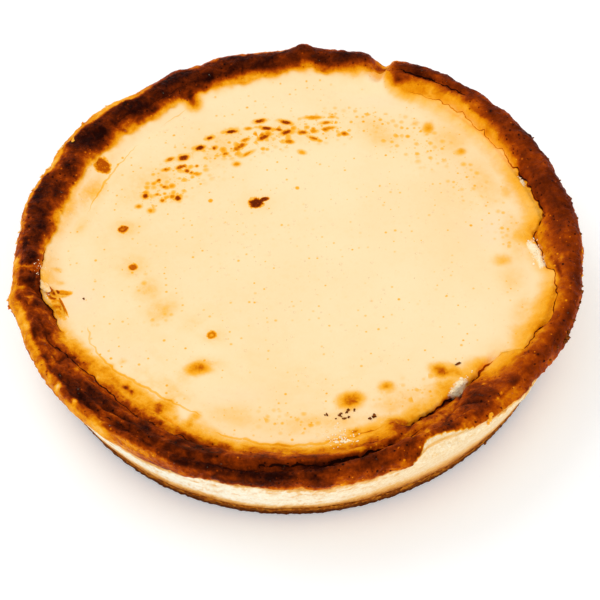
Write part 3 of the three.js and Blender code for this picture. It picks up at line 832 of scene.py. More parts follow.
def browning(radius, height, azimuth, top, points):
    """How browned the skin would be at each point, from 0 to about 1, if none were missing, with painted
    shade added beside the skin's edge and along its cracks and creases.
    """
    opened = around(EDGE_OPEN, azimuth)
    outward = radius + grain(points, *EDGE_GRAIN) * lerp(*EDGE_STRAY, opened)
    edge = from_line(EDGE, outward, azimuth)
    golden = around(GOLDEN_LEVEL, azimuth) * hump(np.minimum(edge, 0), around(GOLDEN_REACH, azimuth))
    outside = around(EDGE_LEVEL, azimuth)
    softness = lerp(*EDGE_SOFTNESS, opened)
    level = lerp(golden, outside, step_at(edge, 0, softness))
    bands = (
        (ORANGE_FROM, np.maximum(outside, ORANGE_LEVEL)),
        (BROWN_FROM, np.maximum(outside, BROWN_LEVEL)),
        (DARK_FROM, around(DARK_LEVEL, azimuth)),
    )
    start = around(EDGE, azimuth)
    for line, reached in bands:
        end = np.maximum(around(line, azimuth), start + NARROWEST_BAND)
        level = lerp(level, reached, np.clip((outward - start) / (end - start), 0, 1))
        start = end
    past_lip = step_at(outward, around(LIP_FROM, azimuth), LIP_SOFTNESS)
    level = lerp(level, around(LIP_LEVEL, azimuth), past_lip)
    for line, start, end in ((BULGE_LEVEL, BULGE_FROM, BULGE_TO), (FACE_LEVEL, FACE_FROM, FACE_TO)):
        level = lerp(level, around(line, azimuth), smoothstep(-height, -start, -end) * ~top)
    # Painted shade darkens the skin beside the gaping edge
    level = level + around(EDGE_SHADE, azimuth) * hump(edge - EDGE_SHADE_AT, EDGE_SHADE_REACH) * top
    # The patches are the rim's own browning; the creases' darkening is painted shade
    level = level + patch_sum(PATCHES, radius, azimuth) + crease_sum(radius, azimuth, 1) * top
    # Painted shade darkens the skin along the gaping crevice and inner fold
    for line, gape, change, width, _, _ in CRACKS:
        level = level + change * around(gape, azimuth) * hump(from_line(line, radius, azimuth), width)
    return level


def skin_left(radius, height, azimuth, top, points):
    """How much of the skin is there: none below its edge on the side, and none where it is torn off."""
    side_edge = around(SIDE_EDGE, azimuth) + rough(points, *SIDE_EDGE_STRAY)
    kept = np.where(top, 1, step_at(height, side_edge, TORN_SOFTNESS))
    tear = around(TEAR, azimuth) + rough(points, *TEAR_STRAY)
    return np.minimum(kept, 1 - step_at(down_side(radius, height), tear, TORN_SOFTNESS))


def down_side(radius, height):
    """How far out a point of the rim is, counted along the top and then down the side."""
    return radius + np.maximum(HIGHEST_RIM - height, 0)


def side_toast_and_gap_shade(radius, height, azimuth, points, creamy):
    """How toasted the side's cream is towards its foot and under the skin's edge, with painted shade in the
    gap under the lifted skin.
    """
    ragged = rough(points, *RAGGED_GRAIN)
    frayed = rough(points, *FRAYED_GRAIN)
    above = height - BASE_THICKNESS - TOAST_START + TOAST_RAGGED * ragged + TOAST_FRAYED * frayed
    faded = (np.maximum(above, 0) / around(TOAST_REACH, azimuth)) ** TOAST_POWER
    foot = around(TOAST_LEVEL, azimuth) * np.exp(-faded)
    below = np.maximum(around(SIDE_EDGE, azimuth) - height, 0)
    fringe = FRINGE_TOAST * np.exp(-below / around(FRINGE_REACH, azimuth))
    fringe = (fringe + FRINGE_RAGGED * ragged + FRINGE_FRAYED * frayed) * (around(TEAR, azimuth) > UNTORN)
    # Painted shade in the gap under the lifted skin, coloured like toasting
    gap = around(GAP_SHADE, azimuth) * hump(down_side(radius, height) - around(GAP, azimuth), GAP_HALF)
    return np.maximum(np.maximum(foot, gap), fringe) * creamy


# Where the browned rim's relief sets in: beside the skin's edge on top, and by height on the side
RIM_AT_EDGE = (-3, 3)
RIM_AT_SIDE = (30, 38)

# Grains of the relief: size of the lumps in millimetres, and octaves
CRAG_GRAIN = (9, 3)
CRUMBLY_GRAIN = (2.6, 3)
SWELL_GRAIN = (22, 2)
WAVE_GRAIN = (5, 2)
WAVE_SHARE = 0.3
FIBRE_GRAIN = (4, 3)
FIBRE_STRETCH = 2
CREASE_SIZE = 4.5
CREASE_SHARE = 0.35

# Wrinkles along the rim: size, stretch, the share all round, and where they are deepest and how far that goes
WRINKLE_SIZE = 3.6
WRINKLE_STRETCH = 3
WRINKLE_SHARE = 0.25
WRINKLED_AT = 238
WRINKLED_ROUND = 28
WRINKLED_RADIUS = 121
WRINKLED_ACROSS = 8

# Radii and heights between which the outer edge becomes crumbly
CRUMBLY_RADII = (124, 130)
CRUMBLY_HEIGHTS = (33, 38)

# The crack along the skin's edge: height, rise and reach of its raised lip, then depth and half width
LIP_LIFT = 0.9
LIP_RISE = (-0.2, 0.9)
LIP_REACH = 4
CRACK_DEPTH = 1.5
CRACK_HALF = 0.9

# The lip of lifted skin on the side: where it rises beside the skin's lower edge, and its reach
SIDE_LIP_RISE = (-0.4, 0.6)
SIDE_LIP_REACH = 4


def grain_relief(radius, height, azimuth, top, points, settings):
    """How far the grain of rim, skin and side stands out at each point, in millimetres."""
    edge = from_line(EDGE, radius, azimuth)
    rim = np.where(top, smoothstep(edge, *RIM_AT_EDGE), smoothstep(height, *RIM_AT_SIDE))
    crags = grain(points, *CRAG_GRAIN) + CREASE_SHARE * ridges(points, CREASE_SIZE)
    relief = rim * settings.crag_relief / MM * crags
    front_left = hump(turn_beside(WRINKLED_AT, azimuth), WRINKLED_ROUND) * top
    front_left = front_left * hump(radius - WRINKLED_RADIUS, WRINKLED_ACROSS)
    wrinkles = ridges(ring_points(radius, azimuth, height, WRINKLE_STRETCH), WRINKLE_SIZE)
    relief += settings.wrinkle_relief / MM * (front_left + WRINKLE_SHARE * rim) * wrinkles
    outer = smoothstep(radius, *CRUMBLY_RADII) * smoothstep(height, *CRUMBLY_HEIGHTS)
    crumbs = around(CRUMBLY, azimuth) * outer * grain(points, *CRUMBLY_GRAIN)
    relief += settings.crumbly_relief / MM * crumbs
    waves = grain(points, *SWELL_GRAIN) + WAVE_SHARE * grain(points, *WAVE_GRAIN)
    relief += settings.skin_relief / MM * (1 - rim) * waves * top
    fibres = grain(ring_points(radius, azimuth, height, FIBRE_STRETCH), *FIBRE_GRAIN)
    return relief + (1 - rim) * ~top * settings.side_relief / MM * fibres


def placed_relief(radius, height, azimuth, top):
    """How far lumps, creases, cracks and lifted skin stand out at each point, in millimetres."""
    relief = patch_sum(LUMPS, radius, azimuth) * (top | (height > RIM_HEIGHT))
    relief -= crease_sum(radius, azimuth, 0) * top
    edge = from_line(EDGE, radius, azimuth)
    opened = around(EDGE_OPEN, azimuth) * top
    relief += LIP_LIFT * opened * smoothstep(edge, *LIP_RISE) * hump(np.maximum(edge, 0), LIP_REACH)
    relief -= CRACK_DEPTH * opened * hump(edge, CRACK_HALF)
    for line, gape, _, _, depth, width in CRACKS:
        relief -= depth * around(gape, azimuth) * hump(from_line(line, radius, azimuth), width) * top
    beyond = height - around(SIDE_EDGE, azimuth)
    lip = smoothstep(beyond, *SIDE_LIP_RISE) * hump(beyond, SIDE_LIP_REACH)
    return relief + ~top * around(SKIN_LIFT, azimuth) * lip


def is_freckled(face):
    """Whether a face lies in the part of the top that is strewn with freckles."""
    middle = face.calc_center_median()
    radius = math.hypot(middle.x, middle.y)
    azimuth = math.degrees(math.atan2(middle.y, middle.x))
    strewn = FRECKLED_START < azimuth < FRECKLED_END and FRECKLED_FROM < radius < FRECKLED_TO
    return strewn and middle.z > TOP_HEIGHT - MARGIN


def refine_freckled(bm):
    """Halves the cells of the freckled part of the top."""
    edges = dict.fromkeys(edge for face in bm.faces if is_freckled(face) for edge in face.edges)
    bmesh.ops.subdivide_edges(bm, edges=list(edges), cuts=1, use_grid_fill=True)


def cheese_mesh():
    """The cheese's section, spun: fine round the rim, coarser inside, all bridged into one skin."""
    seam = (FOOT_RADIUS + BASE_LEAN, BASE_THICKNESS + LAYER_GAP)
    shoulder = (SHOULDER_RADIUS, SHOULDER_HEIGHT)
    widest = (RIM_RADIUS, RIM_HEIGHT)
    crest = (CREST_RADIUS, CREST_HEIGHT)
    slope_foot = (SLOPE_FOOT_RADIUS, TOP_HEIGHT)
    inner_foot = (RIM_MESH_RADIUS, TOP_HEIGHT)
    bm = bmesh.new()
    rim = [(SMOOTH_UNDERSIDE_RADIUS, seam[1])]
    rim += straight(seam, shoulder, SIDE_RINGS)
    rim += bezier(shoulder, (RIM_RADIUS, UNDER_LIP_HEIGHT), widest, LIP_RINGS)
    rim += bezier(widest, (RIM_RADIUS, CREST_HEIGHT), crest, CROWN_RINGS)
    rim += straight(crest, slope_foot, SLOPE_RINGS)
    rim += straight(slope_foot, inner_foot, INNER_SLOPE_RINGS)
    rim += [inner_foot]
    spin_wire(bm, rim, RIM_STEPS)
    outer_rings = np.arange(RIM_MESH_RADIUS - MESH_GAP, FRECKLED_TO, -MIDDLE_RING)
    freckled_rings = np.arange(FRECKLED_TO, FRECKLED_FROM, -FRECKLED_RING)
    inner_rings = np.linspace(FRECKLED_FROM, CENTRE_MESH_RADIUS, INNER_RINGS)
    rings = [*outer_rings, *freckled_rings, *inner_rings]
    spin_wire(bm, [(radius, TOP_HEIGHT) for radius in rings], MIDDLE_STEPS)
    centre_rings = np.linspace(CENTRE_MESH_RADIUS - MESH_GAP, 0, CENTRE_RINGS)
    spin_wire(bm, [(radius, TOP_HEIGHT) for radius in centre_rings], CENTRE_STEPS)
    for outer in (RIM_MESH_RADIUS, CENTRE_MESH_RADIUS):
        bridge_gap(bm, outer - MESH_GAP, outer, TOP_HEIGHT)
    fill_middle(bm, seam[1])
    refine_freckled(bm)
    return finish_mesh(bm, "cheese")


# Freckles: place x and y, half length, half width, turn, and browning
FRECKLES = (
    (-14.2, 86.9, 2.8, 1.4, 7, 0.66), (-28.7, 81, 2.8, 1.4, 4, 0.7), (-39.9, 77.3, 1.8, 1.2, 15, 0.62),
    (-44.7, 70.7, 2.4, 1.6, 9, 0.72), (-53.1, 64.6, 2.6, 1.8, 25, 0.7), (-54.7, 58.4, 2, 1.2, 23, 0.62),
    (-51.3, 55.5, 1.3, 1.3, 0, 0.62), (-71.8, 40.4, 1.8, 1.6, -29, 0.7), (-55.9, 37.7, 1.5, 1.7, 0, 0.7),
    (-11.1, 81.6, 2.6, 1.2, -13, 0.66), (-1.3, 85.3, 3, 1.2, -21, 0.66), (-1.1, 78.1, 3, 1.4, 23, 0.66),
    (-12.6, 75.5, 3, 1.4, 28, 0.62), (-5, 80.1, 1.8, 0.8, -18, 0.56), (-0.2, 71.7, 2.2, 1.2, -13, 0.5),
    (7.1, 77.4, 2.2, 1.2, -18, 0.56), (12.4, 73, 2.8, 1, -31, 0.52), (18.9, 83.3, 2.6, 1, 4, 0.5),
    (20.3, 79.4, 2.8, 1, 6, 0.46), (27.7, 74.6, 2, 0.8, -18, 0.44), (12.5, 87.4, 3.8, 1, -2, 0.44),
    (-24.8, 69.9, 3.2, 1.2, 33, 0.54), (-21.1, 65, 3.2, 1, 30, 0.46), (-21.9, 74.5, 2, 1, 23, 0.46),
    (-32.3, 65.8, 1.4, 1.2, 0, 0.52), (-37.5, 70.1, 1, 1.2, 0, 0.58), (-26.7, 58.5, 1.6, 1.4, 0, 0.46),
    (-59.6, 63.9, 2.2, 1.2, 18, 0.52), (-61.7, 57.1, 2, 1, 7, 0.48), (-62.3, 45.7, 1.6, 1, -17, 0.52),
    (-63.3, 36.8, 1.2, 1.2, 0, 0.5), (-69.1, 30.6, 1.4, 1.4, 9, 0.46), (-75, 33.8, 1.4, 1.2, 0, 0.44),
    (-58.5, 39.1, 1.4, 1.4, 0, 0.5), (-20.3, 82.2, 1.6, 1, 0, 0.42), (-47.2, 53.4, 2, 0.8, 0, 0.42),
    (-46.3, 58.5, 0.8, 0.8, 0, 0.5), (-65.5, 49.9, 1, 1, 0, 0.48), (-66, 41, 1, 0.8, 0, 0.46),
    (13.1, 77.7, 1.6, 1, 0, 0.42), (22.4, 87, 1.4, 0.8, 0, 0.4), (6, 64.1, 1.8, 1.2, -31, 0.38),
)


# The value for no freckle near, the radius of the smudged part, and the height over which the side's relief
# sets in
NO_FRECKLE = -3
SMUDGED_RADIUS = 118
RELIEF_ABOVE = 3

# Lines that the material draws: name, places, gape, half width where it gapes fully, and change in browning.
# The edge, crevice and fold lines are painted shade in the gaping cracks; the golden line is a golden crease.
LINES = (
    ("edge", EDGE, EDGE_OPEN, 0.45, 0.36),
    ("crevice", CREVICE, CREVICE_OPEN, 0.5, 0.36),
    ("fold", INNER_FOLD, INNER_FOLD_OPEN, 0.36, 0.3),
    ("golden", GOLDEN_LINE, GOLDEN_LINE_OPEN, 0.8, 0.15),
)


def freckle_fields(x, y):
    """How near the nearest freckle each point is, above 0 inside it, and that freckle's browning."""
    nearest = np.full_like(x, NO_FRECKLE)
    level = np.zeros_like(x)
    for freckle in FRECKLES:
        near = 1 - oval_distance(x, y, *freckle[:5])
        level = np.where(near > nearest, freckle[5], level)
        nearest = np.maximum(nearest, near)
    return nearest, level


def make_cheese(settings):
    piece = cheese_mesh()
    mesh = piece.data
    section = read_vectors(mesh.vertices, "co")
    radius, azimuth = polar(section)
    height = section[:, 2]
    top, crown, side = sloping(radius, height)
    radius = follow_edge(radius, azimuth, top)
    out, up = cheese_place(radius, height, azimuth)
    points = from_polar(out, azimuth, up)
    write_points(mesh, points)
    relief = grain_relief(radius, height, azimuth, top, points, settings)
    relief += placed_relief(radius, height, azimuth, top)
    relief *= np.where(side, smoothstep(height, BASE_THICKNESS, BASE_THICKNESS + RELIEF_ABOVE), 1)
    skin = top | crown | side
    relief *= skin
    write_points(mesh, points + read_vectors(mesh.vertex_normals, "vector") * relief[:, None])
    for name, values in cheese_values(radius, height, azimuth, points, top, skin).items():
        write_values(mesh, name, values)
    return piece


def cheese_values(radius, height, azimuth, points, top, skin):
    """What the material reads at each vertex, by name."""
    x, y = points[:, 0], points[:, 1]
    kept = skin_left(radius, height, azimuth, top, points)
    level = browning(radius, height, azimuth, top, points) * kept * skin
    curd = [(*patch, 1) for patch in BARE_CURD]
    rosy = [(*place, 0, size) for *place, size in ROSY]
    freckle_near, freckle_level = freckle_fields(x, y)
    values = {
        # The browning also carries painted shade: beside the edge, in cracks and creases, and on the upper
        # left slope
        "browning": np.maximum(level, spot_sum(SMUDGES_AND_SLOPE_SHADE, x, y) * (top & (radius < SMUDGED_RADIUS))),
        "creamy": 1 - kept,
        # The side's toasting also carries painted shade in the gap under the lifted skin
        "toasting_and_gap_shade": side_toast_and_gap_shade(radius, height, azimuth, points, 1 - kept),
        "side_tone": around(SIDE_TONE, azimuth),
        "uneven": around(UNEVEN, azimuth),
        "streaky": around(STREAKY, azimuth),
        "crumbly": around(CRUMBLY, azimuth),
        "bare_curd": np.minimum(patch_sum(curd, radius, azimuth), 1) * top,
        "rosy": spot_sum(rosy, x, y) * top,
        "freckled": spot_sum(STREWN, x, y) * top,
        "freckle_near": np.where(top, freckle_near, NO_FRECKLE),
        "freckle_level": freckle_level,
    }
    for name, line, gape, _, _ in LINES:
        values[name + "_distance"] = from_line(line, radius, azimuth)
        values[name + "_open"] = around(gape, azimuth) * top
    return values


def add_node(tree, kind, settings=None, **inputs):
    """A shader node with its settings and inputs; an input is a socket to link or a value."""
    made = tree.nodes.new("ShaderNode" + kind)
    for name, value in (settings or {}).items():
        setattr(made, name, value)
    for name, value in inputs.items():
        put(tree, made.inputs[name.replace("_", " ")], value)
    return made


def put(tree, socket, value):
    if isinstance(value, bpy.types.NodeSocket):
        tree.links.new(value, socket)
    else:
        socket.default_value = value


def calc(tree, operation, *values):
    made = tree.nodes.new("ShaderNodeMath")
    made.operation = operation
    for socket, value in zip(made.inputs, values):
        put(tree, socket, value)
    return made.outputs[0]


def times(tree, first, second):
    return calc(tree, "MULTIPLY", first, second)


def times_plus(tree, first, second, added):
    return calc(tree, "MULTIPLY_ADD", first, second, added)


def centred(tree, value):
    """Noise of 0 to 1 made to waver about 0."""
    return calc(tree, "SUBTRACT", value, 0.5)


def vector_calc(tree, operation, *values):
    made = tree.nodes.new("ShaderNodeVectorMath")
    made.operation = operation
    for socket, value in zip(made.inputs, values):
        put(tree, socket, value)
    return made.outputs["Value" if operation in ("LENGTH", "DOT_PRODUCT") else "Vector"]


def scaled(tree, vector, factor):
    made = tree.nodes.new("ShaderNodeVectorMath")
    made.operation = "SCALE"
    put(tree, made.inputs[0], vector)
    put(tree, made.inputs["Scale"], factor)
    return made.outputs[0]


def remap(tree, value, low, high, to_low=0.0, to_high=1.0):
    """Smoothly from one value to another as the input goes from low to high."""
    made = add_node(tree, "MapRange", {"interpolation_type": "SMOOTHSTEP"}, Value=value)
    for name, number in (("From Min", low), ("From Max", high), ("To Min", to_low), ("To Max", to_high)):
        put(tree, made.inputs[name], number)
    return made.outputs[0]


def mix_colours(tree, share, first, second):
    made = tree.nodes.new("ShaderNodeMix")
    made.data_type = "RGBA"
    for index, value in ((0, share), (6, first), (7, second)):
        put(tree, made.inputs[index], value)
    return made.outputs[2]


def value_of(tree, name):
    return add_node(tree, "Attribute", {"attribute_name": name}).outputs["Fac"]


def noise_at(tree, vector, size, detail=3.0, roughness=0.55, distortion=0.0):
    """Noise about 0 to 1 whose lumps measure size millimetres, at a vector in millimetres."""
    made = add_node(tree, "TexNoise", Vector=vector, Scale=1 / size, Detail=detail, Roughness=roughness)
    made.inputs["Distortion"].default_value = distortion
    return made.outputs["Fac"]


def cells_at(tree, vector, size):
    """Distance to the nearest cell's middle, in cells, and that cell's random colour."""
    made = add_node(tree, "TexVoronoi", Vector=vector, Scale=1 / size)
    return made.outputs["Distance"], made.outputs["Color"]


def millimetres(tree):
    """Object coordinates in millimetres."""
    return scaled(tree, add_node(tree, "TexCoord").outputs["Object"], 1 / MM)


def rgba(colour):
    return (*colour, 1.0)


def colour_ramp(tree, level, stops):
    made = tree.nodes.new("ShaderNodeValToRGB")
    ramp = made.color_ramp
    ramp.interpolation = "LINEAR"
    while len(ramp.elements) < len(stops):
        ramp.elements.new(0.5)
    for element, (place, colour) in zip(ramp.elements, stops):
        element.position = place
        element.color = rgba(colour)
    put(tree, made.inputs[0], level)
    return made.outputs[0]


def new_material(name):
    made = bpy.data.materials.new(name)
    made.use_nodes = True
    tree = made.node_tree
    shader = tree.nodes["Principled BSDF"]
    return made, tree, shader


def set_finish(shader, roughness, gloss):
    shader.inputs["Roughness"].default_value = roughness
    shader.inputs["Specular IOR Level"].default_value = gloss


def add_bump(tree, shader, height, depth):
    """Fine relief from a height of 0 to 1, depth metres deep."""
    bump = add_node(tree, "Bump", Height=height, Distance=depth)
    tree.links.new(bump.outputs[0], shader.inputs["Normal"])


# How baked cheese changes colour with browning: level, and linear red, green and blue
BAKING = (
    (0.0, (0.965, 0.715, 0.40)),
    (0.08, (0.965, 0.66, 0.32)),
    (0.16, (0.965, 0.585, 0.21)),
    (0.24, (0.965, 0.505, 0.09)),
    (0.32, (0.955, 0.435, 0.032)),
    (0.40, (0.90, 0.352, 0.009)),
    (0.46, (0.82, 0.283, 0.003)),
    (0.52, (0.69, 0.197, 0.001)),
    (0.58, (0.56, 0.118, 0.0015)),
    (0.64, (0.41, 0.062, 0.001)),
    (0.70, (0.26, 0.032, 0.001)),
    (0.76, (0.17, 0.02, 0.001)),
    (0.82, (0.105, 0.012, 0.001)),
    (0.88, (0.06, 0.007, 0.001)),
    (0.94, (0.03, 0.003, 0.001)),
    (1.0, (0.013, 0.0015, 0.001)),
)


# How the cream of the side changes colour as it is toasted
TOASTING = (
    (0.0, (0.88, 0.66, 0.4)),
    (0.3, (0.88, 0.52, 0.17)),
    (0.6, (0.7, 0.29, 0.045)),
    (0.8, (0.5, 0.165, 0.016)),
    (1.0, (0.32, 0.085, 0.007)),
)

# Noise: size in millimetres, detail, roughness and distortion
PATTERNS = {
    "coarse": (13, 2, 0.5),
    "medium": (4.2, 2, 0.5, 0.6),
    "fine": (1.8, 3, 0.7),
    "fibres": (1.5, 3, 0.7, 1.2),
}
DRAWN_NOISE = (3.2, 3, 0.5)
STREAK_NOISE = (2.6, 3, 0.6)
CLOUD_NOISE = (55, 3, 0.5)

# Radius of the rim and the side in the patterns that are drawn out along them
DRAWN_RADIUS = 24
SIDE_RADIUS = RIM_RADIUS / 3

# Dots: size of the cells, share of the cells that have one, its radius, its softness and a seed
DARK_GRAINS = (2.0, 0.4, 0.45, 0.3, 41.0)
LIGHT_GRAINS = (2.3, 0.3, 0.42, 0.4, 53.0)
SMALL_FRECKLES = (3.2, 0.5, 1.3, 0.9, 11.3, "2D")
TINY_FRECKLES = (1.9, 0.5, 0.5, 0.8, 3.1, "2D")
PINPOINTS = (4.2, 0.5, 0.55, 0.7, 29.0, "2D")
BLISTERS = (0.95, 0.5, 0.34, 0.4, 7.7, "2D")
SIDE_DOTS = (2.2, 0.3, 0.5, 0.5, 5.0)
BUBBLES = (2.1, 0.3, 0.45, 0.5, 17.0)
SEED_SHIFT = (1, 0.7, 0.3)
SMALLEST_DOT = 0.35
DOT_STRENGTHS = (0.6, 0.4)
SPOT_HEIGHT = 1000.0

# Fades: the values between which one happens, then what it goes from and to where that isn't 0 and 1
MOTTLE_FADE = (0.0, 0.5, 0.16, 1.0)
GRAINY_FADE = (0.4, 0.6)
PALE_FADE = (0.45, 0.2)
SMALL_FADE = (0.1, 0.9, 0.03, 0.42)
TINY_FADE = (0.1, 0.9, 0.02, 0.2)
HALO_FADE = (-1.5, 0.2, 0.0, 0.2)
PINPOINT_FADE = (0.4, 0.6, 0.04, 0.32)
FRECKLE_FADE = (-0.75, 0.6)
BLISTER_FADE = (0.1, 0.9, 1.0, 0.86)
SPOT_FADE = (1.5, 0.7)
HOLLOW_FADE = (0.65, 0.2)
LINE_FADE = (1.2, 0.4)
GAPE_FADE = (0.05, 0.4)
SKIN_FADE = (0.2, 0.05)
CLOUD_FADE = (0.3, 0.7)
ROSY_FADE = (0.2, 0.7, 0.3, 0.8)
FIBRE_FADE = (0.2, 0.8, 0.75, 1.25)
TOAST_FADE = (0.0, 0.32)
CREAM_FADE = (0.3, 0.05)
CURD_FADE = (0.3, 0.9, 0.0, 0.9)
GLOSS_FADE = (0.1, 0.6)
BUMP_FADE = (0.0, 0.5, 0.1, 1.0)

# What a pattern adds to a level, a tone or the fine relief
CRUMBLY_SHARE = (0.6, 0.4)
DARK_GRAIN_LEVEL = 0.24
LIGHT_GRAIN_LEVEL = 0.21
RAGGEDNESS = 0.9
LEVEL_UNDER_FLECKS = 0.4
HOLLOW_LEVEL = 0.4
LINE_WOBBLE = 1.3
NARROWEST_LINE = 0.02
CLOUD_SHARE = 0.5
FIBRE_TONE = 1.4
STREAK_TONE = 0.7
SIDE_DOT_LEVEL = 0.3
FINE_CURD_SHARE = 1.4
MEDIUM_CURD_SHARE = 0.8
SKIN_BUMP = 0.9
FIBRE_BUMP = 0.65
BUBBLE_BUMP = 0.25

# Where along the side's tone it is whitest, cream, tan and golden
CREAM_PLACES = (0.0, 0.35, 0.7, 1.0)


def elongated(tree, place, radius, rise):
    """Coordinates in millimetres in which the way round is that of a smaller radius, plus a rise."""
    flat = vector_calc(tree, "MULTIPLY", place, (1, 1, 0))
    ring = scaled(tree, vector_calc(tree, "NORMALIZE", flat), radius)
    return vector_calc(tree, "ADD", ring, rise)


def along_rim(tree, place):
    """Coordinates for a pattern on top that is drawn out along the rim."""
    outward = vector_calc(tree, "LENGTH", vector_calc(tree, "MULTIPLY", place, (1, 1, 0)))
    return elongated(tree, place, DRAWN_RADIUS, add_node(tree, "CombineXYZ", Z=outward).outputs[0])


def along_side(tree, place):
    """Coordinates for a pattern on the side that is drawn out round the cake."""
    return elongated(tree, place, SIDE_RADIUS, vector_calc(tree, "MULTIPLY", place, (0, 0, 1)))


def dots(tree, place, size, share, radius, softness, seed, dimensions="3D"):
    """Round dots scattered in cells of that size: the share of cells that have one, and its radius."""
    moved = vector_calc(tree, "ADD", place, tuple(seed * part for part in SEED_SHIFT))
    cells = add_node(tree, "TexVoronoi", {"voronoi_dimensions": dimensions}, Vector=moved, Scale=1 / size)
    parts = add_node(tree, "SeparateColor", Color=cells.outputs["Color"]).outputs
    present = calc(tree, "LESS_THAN", parts[0], share)
    reach = times(tree, calc(tree, "ADD", parts[1], SMALLEST_DOT), radius / size)
    near = calc(tree, "DIVIDE", cells.outputs["Distance"], reach)
    strength = times(tree, present, times_plus(tree, parts[2], *DOT_STRENGTHS))
    return times(tree, remap(tree, near, 1 + softness, 1 - softness), strength)


# Spots with a place of their own: x, y, half length, half width, turn, browning and how hollow
SPOTS = (
    (-18, 31.9, 3.4, 2.9, -8, 0.76, 0), (-14.2, 33.8, 2.8, 1.3, 24, 0.72, 0),
    (-92.9, 60.8, 3.6, 3.9, 20, 0.59, 0), (-82.4, 19.6, 2.3, 2.1, 0, 0.58, 0.3),
    (-77.2, -4.7, 1.9, 2, 0, 0.53, 0), (-40.4, -48.1, 2.1, 2.1, 0, 0.48, 0.8),
    (2.7, 40.3, 1.1, 1.1, 0, 0.34, 0), (-40, 34.9, 1.1, 1.1, 0, 0.38, 0),
    (-111.8, -27.2, 7, 2.4, -68, 0.42, 0), (-114.6, -20.8, 3.6, 2, -66, 0.58, 0),
    (-109.6, -26, 6, 0.6, -68, 0.54, 0), (-109.6, -18.4, 3.4, 1.6, -4, 0.44, 0),
    (-112.4, -18.2, 1, 1.2, 0, 0.66, 0),
)


def placed_spots(tree, place, ragged):
    """The level of browning of the spots that have a place of their own."""
    highest = 0.0
    for x, y, length, width, turn, level, hollow in SPOTS:
        mapping = add_node(tree, "Mapping", {"vector_type": "TEXTURE"}, Vector=place)
        mapping.inputs["Location"].default_value = (x, y, 0)
        mapping.inputs["Rotation"].default_value = (0, 0, math.radians(turn))
        mapping.inputs["Scale"].default_value = (length, width, SPOT_HEIGHT)
        reach = calc(tree, "ADD", vector_calc(tree, "LENGTH", mapping.outputs[0]), ragged)
        spot = remap(tree, reach, *SPOT_FADE, 0.0, level)
        if hollow:
            lighter = remap(tree, reach, *HOLLOW_FADE, 0.0, level * HOLLOW_LEVEL * hollow)
            spot = calc(tree, "SUBTRACT", spot, lighter)
        highest = calc(tree, "MAXIMUM", highest, spot)
    return highest


def open_line(tree, wobble, name, width, strength):
    """A line of added browning where a crack gapes, from the distance to it and how far it is open; along the
    edge, crevice and fold it is painted shade in the crack.
    """
    distance = calc(tree, "ABSOLUTE", calc(tree, "ADD", value_of(tree, name + "_distance"), wobble))
    gape = times(tree, value_of(tree, name + "_open"), width)
    near = calc(tree, "DIVIDE", distance, calc(tree, "ADD", gape, NARROWEST_LINE))
    present = remap(tree, value_of(tree, name + "_open"), *GAPE_FADE)
    return times(tree, remap(tree, near, *LINE_FADE, 0.0, strength), present)


def mottled(tree, place, pattern, browned, settings):
    """The browning of the mesh with mottling, streaks along the rim and grains at its edge."""
    drawn = noise_at(tree, along_rim(tree, place), *DRAWN_NOISE)
    mottle = times(tree, centred(tree, pattern["coarse"]), settings.coarse_mottle)
    mottle = times_plus(tree, centred(tree, pattern["medium"]), settings.medium_mottle, mottle)
    mottle = times_plus(tree, centred(tree, pattern["fine"]), settings.fine_mottle, mottle)
    streaky = times(tree, value_of(tree, "streaky"), settings.drawn_mottle)
    mottle = times_plus(tree, centred(tree, drawn), streaky, mottle)
    weight = times(tree, remap(tree, browned, *MOTTLE_FADE), value_of(tree, "uneven"))
    level = times_plus(tree, mottle, weight, browned)
    crumbly = times_plus(tree, value_of(tree, "crumbly"), *CRUMBLY_SHARE)
    crumbly = times(tree, crumbly, remap(tree, browned, *GRAINY_FADE))
    dark = times(tree, dots(tree, place, *DARK_GRAINS), DARK_GRAIN_LEVEL)
    light = times(tree, dots(tree, place, *LIGHT_GRAINS), LIGHT_GRAIN_LEVEL)
    return times_plus(tree, calc(tree, "SUBTRACT", dark, light), crumbly, level)


def flecked(tree, place, pattern, browned, level, on_top):
    """The level with the freckles, pinpoints and spots of the pale top, which tiny blisters break up."""
    freckled = value_of(tree, "freckled")
    small = times(tree, dots(tree, place, *SMALL_FRECKLES), remap(tree, freckled, *SMALL_FADE))
    tiny = times(tree, dots(tree, place, *TINY_FRECKLES), remap(tree, freckled, *TINY_FADE))
    halo = remap(tree, value_of(tree, "freckle_near"), *HALO_FADE)
    small = calc(tree, "ADD", calc(tree, "MAXIMUM", small, tiny), halo)
    pinpoints = times(tree, dots(tree, place, *PINPOINTS), remap(tree, pattern["coarse"], *PINPOINT_FADE))
    waves = [centred(tree, pattern[name]) for name in ("medium", "fine")]
    ragged = times(tree, calc(tree, "ADD", *waves), RAGGEDNESS)
    near = calc(tree, "ADD", value_of(tree, "freckle_near"), ragged)
    flecks = times(tree, remap(tree, near, *FRECKLE_FADE), value_of(tree, "freckle_level"))
    for others in (small, pinpoints, placed_spots(tree, place, ragged)):
        flecks = calc(tree, "MAXIMUM", flecks, others)
    flecks = times(tree, flecks, remap(tree, dots(tree, place, *BLISTERS), *BLISTER_FADE))
    flecks = times(tree, flecks, times(tree, remap(tree, browned, *PALE_FADE), on_top))
    return calc(tree, "MAXIMUM", level, times_plus(tree, level, LEVEL_UNDER_FLECKS, flecks))


